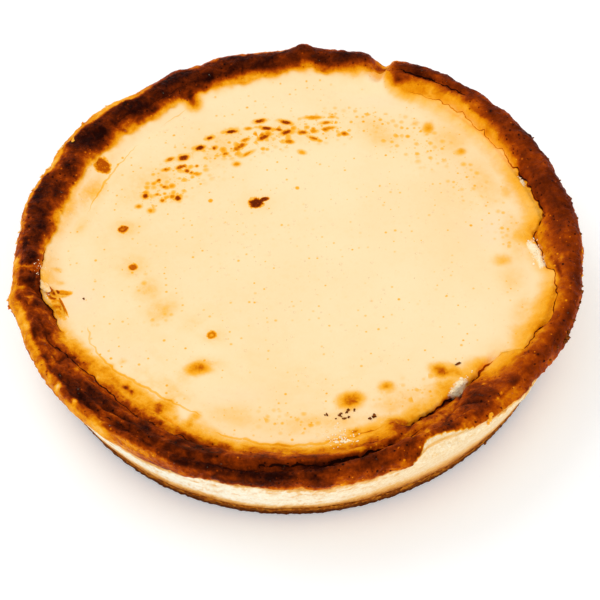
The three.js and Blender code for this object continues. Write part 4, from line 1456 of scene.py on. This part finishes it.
def skin_colour(tree, place, pattern, level, on_top, settings):
    """The skin's colour by its level of browning, with bright clouds and rosy patches where it is pale."""
    skin = times(tree, remap(tree, level, *SKIN_FADE), on_top)
    clouds = times(tree, remap(tree, noise_at(tree, place, *CLOUD_NOISE), *CLOUD_FADE), skin)
    bright = rgba(settings.bright_skin)
    colour = mix_colours(tree, times(tree, clouds, CLOUD_SHARE), colour_ramp(tree, level, BAKING), bright)
    rosy = times(tree, value_of(tree, "rosy"), remap(tree, pattern["medium"], *ROSY_FADE))
    return mix_colours(tree, times(tree, rosy, skin), colour, rgba(settings.rosy_skin))


def cream_colour(tree, place, pattern, settings):
    """The side's colour: fibrous cream, toasted towards the foot and under the skin, with painted shade in
    the gap under the lifted skin.
    """
    fibres = pattern["fibres"]
    side = along_side(tree, place)
    tone = times_plus(tree, centred(tree, fibres), FIBRE_TONE, value_of(tree, "side_tone"))
    tone = times_plus(tree, centred(tree, noise_at(tree, side, *STREAK_NOISE)), STREAK_TONE, tone)
    creams = (settings.cream_white, settings.cream, settings.cream_tan, settings.cream_golden)
    cream = colour_ramp(tree, tone, tuple(zip(CREAM_PLACES, creams)))
    toasting_and_gap_shade = times(tree, value_of(tree, "toasting_and_gap_shade"), remap(tree, fibres, *FIBRE_FADE))
    toasting_and_gap_shade = calc(tree, "MAXIMUM", toasting_and_gap_shade, times(tree, dots(tree, side, *SIDE_DOTS), SIDE_DOT_LEVEL))
    return mix_colours(tree, remap(tree, toasting_and_gap_shade, *TOAST_FADE), cream, colour_ramp(tree, toasting_and_gap_shade, TOASTING))


def cheese_bump(tree, place, pattern, browned):
    """The finest relief: crags where it is browned, fibres on the side, and small bubbles."""
    relief = times_plus(tree, pattern["fine"], SKIN_BUMP, times(tree, pattern["medium"], SKIN_BUMP))
    relief = times(tree, relief, remap(tree, browned, *BUMP_FADE))
    fibrous = times(tree, value_of(tree, "creamy"), FIBRE_BUMP)
    relief = times_plus(tree, pattern["fibres"], fibrous, relief)
    return calc(tree, "SUBTRACT", relief, times(tree, dots(tree, place, *BUBBLES), BUBBLE_BUMP))


def cheese_material(settings):
    made, tree, shader = new_material("baked_cheese")
    place = millimetres(tree)
    pattern = {name: noise_at(tree, place, *shape) for name, shape in PATTERNS.items()}
    browned = value_of(tree, "browning")
    creamy = value_of(tree, "creamy")
    on_top = calc(tree, "SUBTRACT", 1.0, creamy)
    level = mottled(tree, place, pattern, browned, settings)
    level = flecked(tree, place, pattern, browned, level, on_top)
    wobble = times(tree, centred(tree, pattern["medium"]), LINE_WOBBLE)
    # Painted shade in the gaping edge, crevice and fold; the golden line browns a crease
    for name, _, _, width, strength in LINES:
        level = calc(tree, "ADD", level, open_line(tree, wobble, name, width, strength))
    colour = skin_colour(tree, place, pattern, level, on_top, settings)
    cream = cream_colour(tree, place, pattern, settings)
    colour = mix_colours(tree, times(tree, creamy, remap(tree, level, *CREAM_FADE)), colour, cream)
    curd = times_plus(tree, centred(tree, pattern["fine"]), FINE_CURD_SHARE, value_of(tree, "bare_curd"))
    curd = times_plus(tree, centred(tree, pattern["medium"]), MEDIUM_CURD_SHARE, curd)
    colour = mix_colours(tree, remap(tree, curd, *CURD_FADE), colour, rgba(settings.curd))
    put(tree, shader.inputs["Base Color"], colour)
    dull = remap(tree, level, *GLOSS_FADE, settings.skin_roughness, settings.rim_roughness)
    put(tree, shader.inputs["Roughness"], dull)
    shader.inputs["Specular IOR Level"].default_value = settings.shine
    shader.inputs["Specular Tint"].default_value = rgba(settings.shine_colour)
    add_bump(tree, shader, cheese_bump(tree, place, pattern, browned), settings.bump_depth)
    return made


# The base's section: rings of its rounded lower edge and its side, then its upper edge, which is a little
# below the base's top, rises to just above it and slopes down to it
BASE_EDGE_RINGS = 3
BASE_SIDE_RINGS = 11
UPPER_DROP = 0.36
UPPER_INSET = 0.6
UPPER_RISE = 0.18
UPPER_SLOPE = 3

# The pressed crumbs: how large the heaps they lie in are, how far both stand out, and between what limits
HEAP_LUMPS = 2.2
HEAP_MIDDLE = 0.55
CRUMB_CONTRAST = 1.5
HEAP_CONTRAST = 0.5
HEAP_LIMITS = (-1.4, 1.1)
CRUMBLED_INSIDE = (1.5, 0.4)
SEAM_FROM = 2

# Looks of the base
BISCUIT_NOISE = (2.2, 4, 0.6)
GRIT_NOISE = (0.7, 3, 0.65)
TONE_SHARES = (0.9, 0.45)
BISCUIT_PLACES = (0.25, 0.5, 0.72, 0.9)
BURNT_AND_SHADE_WOBBLE = 2.5
BURNT_AND_SHADE_FADE = (8.2, 3.4, 0.0, 0.95)
HOLLOW_SHADE = (0.0, -0.45, 0.0, 0.7)
GRIT_HOLLOWS = 0.4
GRIT_DEPTH = 0.0005


def biscuit_mesh():
    """The base: a flat disc whose side is heaped, pressed crumbs."""
    foot = (FOOT_RADIUS, BASE_EDGE_ROUNDING)
    edge = (FOOT_RADIUS + BASE_LEAN, BASE_THICKNESS - UPPER_DROP)
    bm = bmesh.new()
    rim = [(SMOOTH_UNDERSIDE_RADIUS, 0), (FOOT_RADIUS - BASE_EDGE_ROUNDING * 2, 0)]
    rim += bezier((FOOT_RADIUS - BASE_EDGE_ROUNDING, 0), (FOOT_RADIUS, 0), foot, BASE_EDGE_RINGS)
    rim += straight(foot, edge, BASE_SIDE_RINGS)
    rim += [edge, (edge[0] - UPPER_INSET, BASE_THICKNESS + UPPER_RISE)]
    rim += [(edge[0] - UPPER_SLOPE, BASE_THICKNESS), (SMOOTH_UNDERSIDE_RADIUS, BASE_THICKNESS)]
    spin_wire(bm, rim, RIM_STEPS)
    for height in (0, BASE_THICKNESS):
        fill_middle(bm, height)
    return finish_mesh(bm, "biscuit")


def make_biscuit(settings):
    piece = biscuit_mesh()
    mesh = piece.data
    section = read_vectors(mesh.vertices, "co")
    radius, azimuth = polar(section)
    height = section[:, 2]
    beyond = smoothstep(radius, SMOOTH_UNDERSIDE_RADIUS, FOOT_RADIUS)
    upper = smoothstep(height, SEAM_FROM, BASE_THICKNESS - 1)
    out = radius + shift_sum(FOOT_SWELLS, azimuth) * beyond
    up = height + seam_wave(radius, azimuth) * upper
    points = from_polar(out, azimuth, up)
    crumb = settings.crumb_size / MM
    hollows = np.array([noise.voronoi(Vector(p))[0][0] for p in (points / crumb).tolist()])
    relief = (HEAP_MIDDLE - hollows) * CRUMB_CONTRAST + rough(points, HEAP_CONTRAST, crumb * HEAP_LUMPS, 2)
    crumbled = smoothstep(radius, *(FOOT_RADIUS - inside for inside in CRUMBLED_INSIDE))
    relief = np.clip(relief, *HEAP_LIMITS) * settings.crumb_relief / MM * crumbled
    write_points(mesh, from_polar(out + relief, azimuth, np.maximum(up, 0)))
    write_values(mesh, "crumb_height", relief)
    return piece


def biscuit_material(settings):
    made, tree, shader = new_material("biscuit")
    place = millimetres(tree)
    distance, cell_colour = cells_at(tree, place, settings.crumb_size / MM)
    medium = noise_at(tree, place, *BISCUIT_NOISE)
    own = add_node(tree, "SeparateColor", Color=cell_colour).outputs[0]
    tone = times_plus(tree, medium, TONE_SHARES[0], times(tree, own, TONE_SHARES[1]))
    browns = (settings.dark, settings.middle, settings.light, settings.golden)
    base = colour_ramp(tree, tone, tuple(zip(BISCUIT_PLACES, browns)))
    height = add_node(tree, "SeparateXYZ", Vector=place).outputs[2]
    # Darker towards the floor: partly burnt crumb, partly painted shade where the base meets the floor
    burnt_and_shaded = remap(tree, times_plus(tree, medium, BURNT_AND_SHADE_WOBBLE, height), *BURNT_AND_SHADE_FADE)
    base = mix_colours(tree, burnt_and_shaded, base, rgba(settings.dark))
    # Painted shade: the hollows between the pressed crumbs darken to the gap colour
    hollow = remap(tree, value_of(tree, "crumb_height"), *HOLLOW_SHADE)
    put(tree, shader.inputs["Base Color"], mix_colours(tree, hollow, base, rgba(settings.shade)))
    set_finish(shader, roughness=0.85, gloss=0.03)
    hollows = times(tree, distance, GRIT_HOLLOWS)
    grit = calc(tree, "SUBTRACT", noise_at(tree, place, *GRIT_NOISE), hollows)
    add_bump(tree, shader, grit, GRIT_DEPTH)
    return made


# White curd: azimuth, radius, half length along, half width across, how many bits and the largest half width
CURD_CLUSTERS = (
    (277.2, 110.2, 5, 4.2, 60, 0.6), (279.4, 112.6, 3, 1.6, 14, 1), (310.2, 109, 2, 0.9, 8, 0.9),
    (307.6, 110.2, 2.6, 0.7, 7, 0.8), (312.6, 108.6, 3, 0.5, 6, 0.6), (355, 113.4, 5, 1.3, 30, 0.8),
    (351, 116.2, 3, 0.8, 9, 0.7), (357.8, 110.6, 2.4, 1, 8, 0.6), (17.5, 117.8, 3.6, 0.5, 8, 0.8),
    (183.4, 121.6, 2.6, 1.6, 12, 0.4), (183.2, 118, 3, 2, 8, 0.36), (189.8, 118.6, 3.4, 0.8, 6, 0.7),
)

# Dark crumbs on the top: place x and y, how many grains and how far apart
DARK_CRUMBS = (
    (8.9, -96.7, 3, 0.6), (16.8, -98.9, 5, 1.4), (18.6, -96.4, 4, 1.2), (20.4, -95.0, 3, 0.8),
    (28.2, -99.7, 2, 0.4), (30.6, -98.9, 4, 0.7), (-100, -22.5, 1, 0.1),
)

# Dark flecks lying on the top: place x and y, half length, half width and turn
DARK_FLECKS = ((70.1, -72.9, 1.5, 0.6, 25), (17.4, -99.2, 1.1, 0.5, 10), (30.6, -99.2, 1.0, 0.5, -10))

# Dark crumbs at the rim's edge: azimuth, height and half length
EDGE_CRUMBS = (
    (332, 40.6, 1.5), (331.3, 39.6, 1.2), (333, 41.4, 0.9), (336, 41.6, 0.8), (345, 41, 0.8),
    (328.6, 41.8, 0.6), (339.3, 41.1, 0.9), (341.2, 40.4, 0.7), (343.4, 41.3, 1), (349.4, 41.6, 0.7),
    (353.6, 41.2, 0.5), (358.2, 42, 0.6), (2.4, 41.8, 0.6), (7.8, 42, 0.7), (13.2, 42, 0.5),
    (19.6, 42.2, 0.5), (26.4, 42, 0.6), (325.4, 41.4, 0.6), (347, 40.2, 0.6),
)

# Crumbs of the base that have come loose at its foot: azimuth, height and half length
FOOT_CRUMBS = (
    (252.75, 1.5, 1.3), (270.25, 4.6, 1.1), (246.4, 1.3, 0.8), (257.6, 1.2, 0.7), (264.2, 1.4, 0.9),
    (277.3, 1.3, 0.8), (284.8, 1.3, 0.7), (296.2, 1.3, 0.8), (238.9, 1.2, 0.7), (311.6, 1.2, 0.7),
)

# Flakes of skin at the rim's edge: azimuth, height, half length, half width and browning
EDGE_FLAKES = (
    (191, 39, 2.4, 1.1, 0.55), (192.5, 37.5, 1.6, 0.8, 0.6), (189.6, 40.5, 1.4, 0.7, 0.3),
    (172.5, 43, 1.8, 0.8, 0.2), (175.6, 42.6, 1.2, 0.6, 0.2), (161.2, 43.4, 1.6, 0.7, 0.2),
    (154.8, 44.2, 2.2, 0.9, 0.18), (157.2, 43.8, 1.4, 0.7, 0.26), (148.8, 44.4, 2.4, 0.9, 0.24),
    (145.5, 44.4, 1.4, 0.7, 0.3), (140.2, 44, 1.6, 0.7, 0.3), (133, 44, 1.8, 0.7, 0.3),
    (353.3, 42.4, 1.2, 0.5, 0.42), (350.7, 42.2, 1.3, 0.5, 0.46), (347.5, 41.4, 1.4, 0.6, 0.42),
    (6.4, 41.6, 1.3, 0.6, 0.8),
)

# Golden crumbs at the rim's edge: azimuth, height and half length
GOLDEN_CRUMBS = (
    (307.3, 44.5, 0.9), (306.9, 43.9, 1.1), (306.7, 43.2, 1.0), (306.5, 42.4, 1.1), (306.1, 41.6, 0.8),
)

# Strips of skin torn up at the left: place x and y, half length, half width, turn and browning
TORN_STRIPS = (
    (-117.8, -16.5, 3.6, 1.8, -60, 0.12), (-115.6, -17.4, 2.2, 0.9, -50, 0.6),
)

DROP_HEIGHT = 80.0
FAR_RADIUS = 170.0
CRUMB_SEED = 417
CURD_SEED = 93
FLAKE_SEED = 28
FOOT_SEED = 61
GOLDEN_CRUMB_LEVEL = 0.36

# How much of a bit is sunk, the size of its dents against its own, and how far its dents are shifted
BIT_SINK = 0.35
BIT_DENTS = 1.6
BIT_SHIFT = 50

# Kinds of bits: how finely the ball is divided, how rough it is and how much it curls
SMALL_CURD = (1, 0.6, 0.0)
LARGE_CURD = (2, 0.6, 0.0)
CRUMB = (2, 0.8, 0.0)
EDGE_CRUMB = (2, 0.7, 0.0)
FLECK = (2, 0.7, 0.3)
FLAKE = (3, 0.6, 1.2)
STRIP = (3, 0.5, 0.8)

# Half length, half width and half height of crumbs against one size
EDGE_CRUMB_SHAPE = (1, 0.8, 1)
FOOT_CRUMB_SHAPE = (1, 0.8, 0.7)
GOLDEN_CRUMB_SHAPE = (1, 0.9, 0.8)
FLECK_HEIGHT = 0.6

# How strewn bits vary: against the largest, then width and height against length
CURD_SIZES = (0.35, 1)
CURD_HEIGHTS = (0.2, 0.4)
CRUMB_SIZES = (0.35, 0.75)
CRUMB_HEIGHTS = (0.5, 0.8)
BIT_WIDTHS = (0.6, 1)
CLUSTER_SPREAD = 1.6
CRUMB_SQUASH = 0.6
SMALL_BIT = 0.6
FLAKE_TIP = 0.6
FOOT_CRUMB_OUT = 0.6


def cheese_surface():
    """The finished cheese, in millimetres, for setting small pieces down on it."""
    mesh = bpy.data.objects["cheese"].data
    points = (read_vectors(mesh.vertices, "co") / MM).tolist()
    faces = [tuple(face.vertices) for face in mesh.polygons]
    return BVHTree.FromPolygons(points, faces)


def top_point(surface, x, y):
    """The point of the surface under a place, and the way it faces."""
    spot, facing, _, _ = surface.ray_cast(Vector((x, y, DROP_HEIGHT)), Vector((0, 0, -1)))
    return spot, facing


def side_point(surface, azimuth, height):
    """The point of the outer face at an azimuth and a height, and the way it faces."""
    angle = math.radians(azimuth)
    outward = Vector((math.cos(angle), math.sin(angle), 0))
    spot, facing, _, _ = surface.ray_cast(outward * FAR_RADIUS + Vector((0, 0, height)), -outward)
    return spot, facing


def add_bit(bm, draw, spot, facing, size, kind, turn=None):
    """A rough lump or flake: half length, half width and half height, sunk a little into the surface."""
    fineness, roughness, curl = kind
    made = bmesh.ops.create_icosphere(bm, subdivisions=fineness, radius=1.0)["verts"]
    shift = Vector([draw.uniform(-BIT_SHIFT, BIT_SHIFT) for _ in range(3)])
    for vert in made:
        vert.co *= 1 + roughness * noise.noise(vert.co * BIT_DENTS + shift)
        vert.co.z += curl * vert.co.x**2
    stand = facing.to_track_quat("Z", "Y").to_matrix().to_4x4()
    if turn is None:
        turn = draw.uniform(0, math.tau)
    lift = spot + facing * size[2] * (1 - 2 * BIT_SINK)
    moves = Matrix.Translation(lift) @ stand @ Matrix.Rotation(turn, 4, "Z") @ Matrix.Diagonal((*size, 1))
    bmesh.ops.transform(bm, matrix=moves, verts=made)


def lump_size(half, shape):
    return tuple(half * share for share in shape)


def drawn_size(draw, half, heights):
    return half, half * draw.uniform(*BIT_WIDTHS), half * draw.uniform(*heights)


def make_curd(settings):
    surface = cheese_surface()
    draw = random.Random(CURD_SEED)
    bm = bmesh.new()
    for azimuth, radius, along, across, count, largest in CURD_CLUSTERS:
        for _ in range(count):
            turn = math.radians(azimuth + math.degrees(draw.gauss(0, along / CLUSTER_SPREAD) / radius))
            out = radius + draw.gauss(0, across / CLUSTER_SPREAD)
            spot, facing = top_point(surface, out * math.cos(turn), out * math.sin(turn))
            half = largest * draw.uniform(*CURD_SIZES) * settings.bit_scale
            kind = SMALL_CURD if half < SMALL_BIT else LARGE_CURD
            add_bit(bm, draw, spot, facing, drawn_size(draw, half, CURD_HEIGHTS), kind)
    return finish_mesh(bm, "curd")


def make_crumbs(settings):
    surface = cheese_surface()
    draw = random.Random(CRUMB_SEED)
    bm = bmesh.new()
    for x, y, count, spread in DARK_CRUMBS:
        for _ in range(count):
            place = (x + draw.gauss(0, spread), y + draw.gauss(0, spread * CRUMB_SQUASH))
            spot, facing = top_point(surface, *place)
            half = draw.uniform(*CRUMB_SIZES) * settings.bit_scale
            add_bit(bm, draw, spot, facing, drawn_size(draw, half, CRUMB_HEIGHTS), CRUMB)
    for x, y, length, width, turn in DARK_FLECKS:
        spot, _ = top_point(surface, x, y)
        size = (length, width, width * FLECK_HEIGHT)
        add_bit(bm, draw, spot, Vector((0, 0, 1)), size, FLECK, math.radians(turn))
    for azimuth, height, half in EDGE_CRUMBS:
        spot, facing = side_point(surface, azimuth, height)
        add_bit(bm, draw, spot, facing, lump_size(half, EDGE_CRUMB_SHAPE), EDGE_CRUMB)
    return finish_mesh(bm, "crumbs")


def make_foot_crumbs(settings):
    draw = random.Random(FOOT_SEED)
    bm = bmesh.new()
    for azimuth, height, half in FOOT_CRUMBS:
        turn = math.radians(azimuth)
        facing = Vector((math.cos(turn), math.sin(turn), 0))
        spot = facing * (FOOT_RADIUS + FOOT_CRUMB_OUT) + Vector((0, 0, height))
        size = lump_size(half * settings.bit_scale, FOOT_CRUMB_SHAPE)
        add_bit(bm, draw, spot, facing, size, EDGE_CRUMB)
    return finish_mesh(bm, "foot_crumbs")


def make_flakes(settings):
    surface = cheese_surface()
    draw = random.Random(FLAKE_SEED)
    bm = bmesh.new()
    levels = []
    thickness = settings.flake_thickness / MM
    for azimuth, height, length, width, browned in EDGE_FLAKES:
        spot, facing = side_point(surface, azimuth, height)
        tipped = (facing + Vector((0, 0, draw.uniform(-FLAKE_TIP, FLAKE_TIP)))).normalized()
        add_bit(bm, draw, spot, tipped, (length, width, thickness), FLAKE)
        levels += [browned] * (len(bm.verts) - len(levels))
    for azimuth, height, half in GOLDEN_CRUMBS:
        spot, facing = side_point(surface, azimuth, height)
        add_bit(bm, draw, spot, facing, lump_size(half, GOLDEN_CRUMB_SHAPE), EDGE_CRUMB)
        levels += [GOLDEN_CRUMB_LEVEL] * (len(bm.verts) - len(levels))
    for x, y, length, width, turn, browned in TORN_STRIPS:
        spot, _ = top_point(surface, x, y)
        size = (length, width, thickness)
        add_bit(bm, draw, spot, Vector((0, 0, 1)), size, STRIP, math.radians(turn))
        levels += [browned] * (len(bm.verts) - len(levels))
    piece = finish_mesh(bm, "flakes")
    write_values(piece.data, "browning", levels)
    return piece


# Looks of the small pieces: noise as above, where one colour passes into the other, and the flakes' mottling
BIT_NOISE = (0.8, 3, 0.6)
BIT_FADE = (0.35, 0.65)
FLAKE_NOISE = (1.4, 3, 0.6)
FLAKE_MOTTLE = 0.6


def plain_material(name, colour, shade, roughness):
    """A rough material whose colour wavers between two."""
    made, tree, shader = new_material(name)
    share = remap(tree, noise_at(tree, millimetres(tree), *BIT_NOISE), *BIT_FADE)
    put(tree, shader.inputs["Base Color"], mix_colours(tree, share, rgba(colour), rgba(shade)))
    set_finish(shader, roughness, gloss=0.0)
    return made


def flake_material():
    made, tree, shader = new_material("flake")
    uneven = centred(tree, noise_at(tree, millimetres(tree), *FLAKE_NOISE))
    level = times_plus(tree, uneven, FLAKE_MOTTLE, value_of(tree, "browning"))
    put(tree, shader.inputs["Base Color"], colour_ramp(tree, level, BAKING))
    set_finish(shader, roughness=0.5, gloss=0.05)
    return made


def length_setting(name, description, default):
    return FloatProperty(name=name, description=description, default=default, unit="LENGTH")


def share_setting(name, description, default):
    return FloatProperty(name=name, description=description, default=default, subtype="FACTOR")


def colour_setting(name, description, default):
    return FloatVectorProperty(name=name, description=description, default=default, subtype="COLOR")


class CheeseSettings(bpy.types.PropertyGroup):
    skin_relief: length_setting("Skin relief", "Height of the pale skin's waves", 0.00022)
    crag_relief: length_setting("Crag relief", "Height of the rim's crags", 0.0006)
    wrinkle_relief: length_setting("Wrinkle relief", "Height of the wrinkles along the rim", 0.0005)
    crumbly_relief: length_setting("Crumbly relief", "Height of the outer edge's crumbs", 0.0007)
    side_relief: length_setting("Side relief", "Height of the side's waves", 0.0002)
    bump_depth: length_setting("Bump depth", "Depth of the finest relief", 0.00085)
    coarse_mottle: share_setting("Coarse mottle", "Unevenness of the browning over a centimetre", 0.6)
    medium_mottle: share_setting("Medium mottle", "Unevenness of the browning over four millimetres", 0.36)
    fine_mottle: share_setting("Fine mottle", "Unevenness of the browning under two millimetres", 0.26)
    drawn_mottle: share_setting("Drawn mottle", "Unevenness of the browning in streaks along the rim", 0.36)
    bright_skin: colour_setting("Bright skin", "Brightest patches of the top", (0.97, 0.8, 0.5))
    rosy_skin: colour_setting("Rosy skin", "Pinkish patches of the top", (0.97, 0.7, 0.45))
    cream_white: colour_setting("Cream white", "The side where it is whitest", (1.0, 0.95, 0.78))
    cream: colour_setting("Cream", "The side of the cheese", (0.98, 0.83, 0.58))
    cream_tan: colour_setting("Cream tan", "The side where it is most tan", (0.89, 0.66, 0.36))
    cream_golden: colour_setting("Cream golden", "The golden grain of the side", (0.86, 0.57, 0.24))
    curd: colour_setting("Curd", "White curd in the cracks", (1.0, 0.88, 0.6))
    skin_roughness: share_setting("Skin roughness", "Roughness of the pale skin", 0.55)
    rim_roughness: share_setting("Rim roughness", "Roughness of the browned rim", 0.42)
    shine: share_setting("Shine", "Specular level of the cheese", 0.035)
    shine_colour: colour_setting("Shine colour", "Tint of the gloss", (1.0, 0.4, 0.06))


class BiscuitSettings(bpy.types.PropertyGroup):
    crumb_size: length_setting("Crumb size", "Width of a pressed crumb", 0.0022)
    crumb_relief: length_setting("Crumb relief", "How far crumbs stand out", 0.0006)
    light: colour_setting("Light crumb", "Lightest crumbs", (0.34, 0.083, 0.004))
    golden: colour_setting("Golden crumb", "Golden crumbs", (0.5, 0.17, 0.011))
    middle: colour_setting("Middle crumb", "Middle brown", (0.2, 0.045, 0.003))
    dark: colour_setting("Dark crumb", "Darkest crumbs", (0.085, 0.017, 0.001))
    shade: colour_setting("Gap", "Gaps between crumbs", (0.05, 0.01, 0.001))


class BitSettings(bpy.types.PropertyGroup):
    bit_scale: FloatProperty(
        name="Bit scale",
        description="Size of the bits of curd and the crumbs, 1 as photographed",
        default=1.0,
    )
    flake_thickness: length_setting("Flake thickness", "Half thickness of a flake of skin", 0.0003)
    curd: colour_setting("Curd", "White of the curd", (1.0, 0.88, 0.62))
    curd_shade: colour_setting("Curd shade", "Deeper cream of the curd", (1.0, 0.76, 0.44))
    crumb: colour_setting("Crumb", "Colour of the dark crumbs", (0.09, 0.02, 0.003))
    crumb_shade: colour_setting("Crumb shade", "Lighter side of the dark crumbs", (0.3, 0.08, 0.01))
    foot_crumb: colour_setting("Foot crumb", "Colour of the crumbs at the foot", (0.16, 0.04, 0.004))


class StageSettings(bpy.types.PropertyGroup):
    floor: colour_setting("Floor", "The pale floor", (0.955, 0.975, 0.99))
    floor_glow: FloatProperty(
        name="Floor glow", description="How much light the floor adds of its own", default=0.1
    )
    sky: FloatProperty(name="Sky", description="Strength of the light all round", default=0.78)
    key_power: FloatProperty(
        name="Key light", description="Power of the large light behind", default=12.0, unit="POWER"
    )
    fill_power: FloatProperty(
        name="Fill light", description="Power of the large light in front", default=10.0, unit="POWER"
    )
    light_width: length_setting("Light width", "Width of the large lights", 1.4)
    lens: FloatProperty(name="Lens", description="Focal length in mm", default=108.0)
    elevation: FloatProperty(
        name="Elevation", description="Camera above the horizon", default=math.radians(51), unit="ROTATION"
    )
    roll: FloatProperty(
        name="Roll", description="Turn of the picture", default=math.radians(-3.3), unit="ROTATION"
    )
    distance: length_setting("Distance", "Camera to the cake", 0.884)
    aim: FloatVectorProperty(
        name="Aim", description="Point in the picture's middle", default=(0.00085, -0.0005, 0), unit="LENGTH"
    )


def show(piece, material, node=None):
    """Finishes a piece: metres, smooth faces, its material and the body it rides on."""
    piece.data.transform(Matrix.Scale(MM, 4))
    piece.data.shade_smooth()
    piece.data.materials.append(material)
    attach(piece, "root")
    if node:
        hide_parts(node)


class CHEESECAKE_OT_cheese(bpy.types.Operator):
    """Makes the baked cheese: side, browned rim and spotted top"""

    bl_idname = "cheesecake.cheese"
    bl_label = "Baked cheese"

    def execute(self, context):
        settings = context.scene.cheesecake_cheese
        show(make_cheese(settings), cheese_material(settings), "baked_cheese")
        return {"FINISHED"}


class CHEESECAKE_OT_biscuit(bpy.types.Operator):
    """Makes the base of pressed biscuit crumb"""

    bl_idname = "cheesecake.biscuit"
    bl_label = "Biscuit base"

    def execute(self, context):
        settings = context.scene.cheesecake_biscuit
        show(make_biscuit(settings), biscuit_material(settings), "biscuit_base")
        return {"FINISHED"}


class CHEESECAKE_OT_bits(bpy.types.Operator):
    """Strews the bits of curd, the crumbs and the flakes of skin on the finished cheese"""

    bl_idname = "cheesecake.bits"
    bl_label = "Curd, crumbs and flakes"

    def execute(self, context):
        settings = context.scene.cheesecake_bits
        curd = plain_material("curd", settings.curd, settings.curd_shade, roughness=0.6)
        crumb = plain_material("crumb", settings.crumb, settings.crumb_shade, roughness=0.7)
        shade = settings.crumb_shade
        foot_crumb = plain_material("foot_crumb", settings.foot_crumb, shade, roughness=0.8)
        show(make_curd(settings), curd)
        show(make_crumbs(settings), crumb)
        show(make_foot_crumbs(settings), foot_crumb)
        show(make_flakes(settings), flake_material())
        return {"FINISHED"}


class CHEESECAKE_OT_stage(bpy.types.Operator):
    """Sets the pale floor, the soft light and the camera"""

    bl_idname = "cheesecake.stage"
    bl_label = "Floor, light and camera"

    def execute(self, context):
        settings = context.scene.cheesecake_stage
        lay_floor(settings)
        light_stage(context.scene, settings)
        set_camera(context.scene, settings)
        return {"FINISHED"}


FLOOR_HALF = 4.0
KEY_PLACE = (-0.9, 1.0, 1.5)
FILL_PLACE = (0.5, -1.6, 0.9)
SENSOR_WIDTH = 36.0


def lay_floor(settings):
    bm = bmesh.new()
    bmesh.ops.create_grid(bm, x_segments=1, y_segments=1, size=FLOOR_HALF)
    mesh = bpy.data.meshes.new("floor")
    bm.to_mesh(mesh)
    bm.free()
    floor = add_object("floor", mesh)
    made, _, shader = new_material("floor")
    set_finish(shader, roughness=0.9, gloss=0.0)
    shader.inputs["Base Color"].default_value = rgba(settings.floor)
    shader.inputs["Emission Color"].default_value = rgba(settings.floor)
    shader.inputs["Emission Strength"].default_value = settings.floor_glow
    floor.data.materials.append(made)


def add_light(name, place, power, width):
    light = bpy.data.lights.new(name, "AREA")
    light.energy = power
    light.size = width
    lamp = add_object(name, light)
    lamp.location = place
    lamp.rotation_euler = (-Vector(place)).to_track_quat("-Z", "Y").to_euler()


def light_stage(scene, settings):
    world = bpy.data.worlds.new("sky")
    world.use_nodes = True
    sky = world.node_tree.nodes["Background"]
    sky.inputs["Strength"].default_value = settings.sky
    sky.inputs["Color"].default_value = rgba((1, 1, 1))
    scene.world = world
    add_light("key", KEY_PLACE, settings.key_power, settings.light_width)
    add_light("fill", FILL_PLACE, settings.fill_power, settings.light_width)
    scene.view_settings.view_transform = "Standard"
    scene.view_settings.look = "None"


def set_camera(scene, settings):
    lens = bpy.data.cameras.new("camera")
    lens.lens = settings.lens
    lens.sensor_width = SENSOR_WIDTH
    camera = add_object("camera", lens)
    back = Vector((0, -math.cos(settings.elevation), math.sin(settings.elevation)))
    right = Vector((1, 0, 0))
    up = back.cross(right)
    turned_right = right * math.cos(settings.roll) + up * math.sin(settings.roll)
    turned_up = up * math.cos(settings.roll) - right * math.sin(settings.roll)
    turn = Matrix((turned_right, turned_up, back)).transposed().to_4x4()
    camera.matrix_world = Matrix.Translation(Vector(settings.aim) + back * settings.distance) @ turn
    scene.camera = camera


class CHEESECAKE_PT_panel(bpy.types.Panel):
    """Lists what the cheesecake is made of"""

    bl_label = "Cheesecake"
    bl_idname = "CHEESECAKE_PT_panel"
    bl_space_type = "VIEW_3D"
    bl_region_type = "UI"
    bl_category = "Cheesecake"

    def draw(self, context):
        for operator in OPERATORS:
            self.layout.operator(operator.bl_idname)


SETTINGS = {
    "cheesecake_cheese": CheeseSettings,
    "cheesecake_biscuit": BiscuitSettings,
    "cheesecake_bits": BitSettings,
    "cheesecake_stage": StageSettings,
}
OPERATORS = (CHEESECAKE_OT_cheese, CHEESECAKE_OT_biscuit, CHEESECAKE_OT_bits, CHEESECAKE_OT_stage)


def register():
    for made in (*SETTINGS.values(), *OPERATORS, CHEESECAKE_PT_panel):
        bpy.utils.register_class(made)
    for name, group in SETTINGS.items():
        setattr(bpy.types.Scene, name, PointerProperty(type=group))


def unregister():
    for name in SETTINGS:
        delattr(bpy.types.Scene, name)
    for made in (CHEESECAKE_PT_panel, *OPERATORS, *SETTINGS.values()):
        bpy.utils.unregister_class(made)


def main():
    register()
    bpy.ops.cheesecake.cheese()
    bpy.ops.cheesecake.biscuit()
    bpy.ops.cheesecake.bits()
    bpy.ops.cheesecake.stage()


if __name__ == "__main__":
    main()
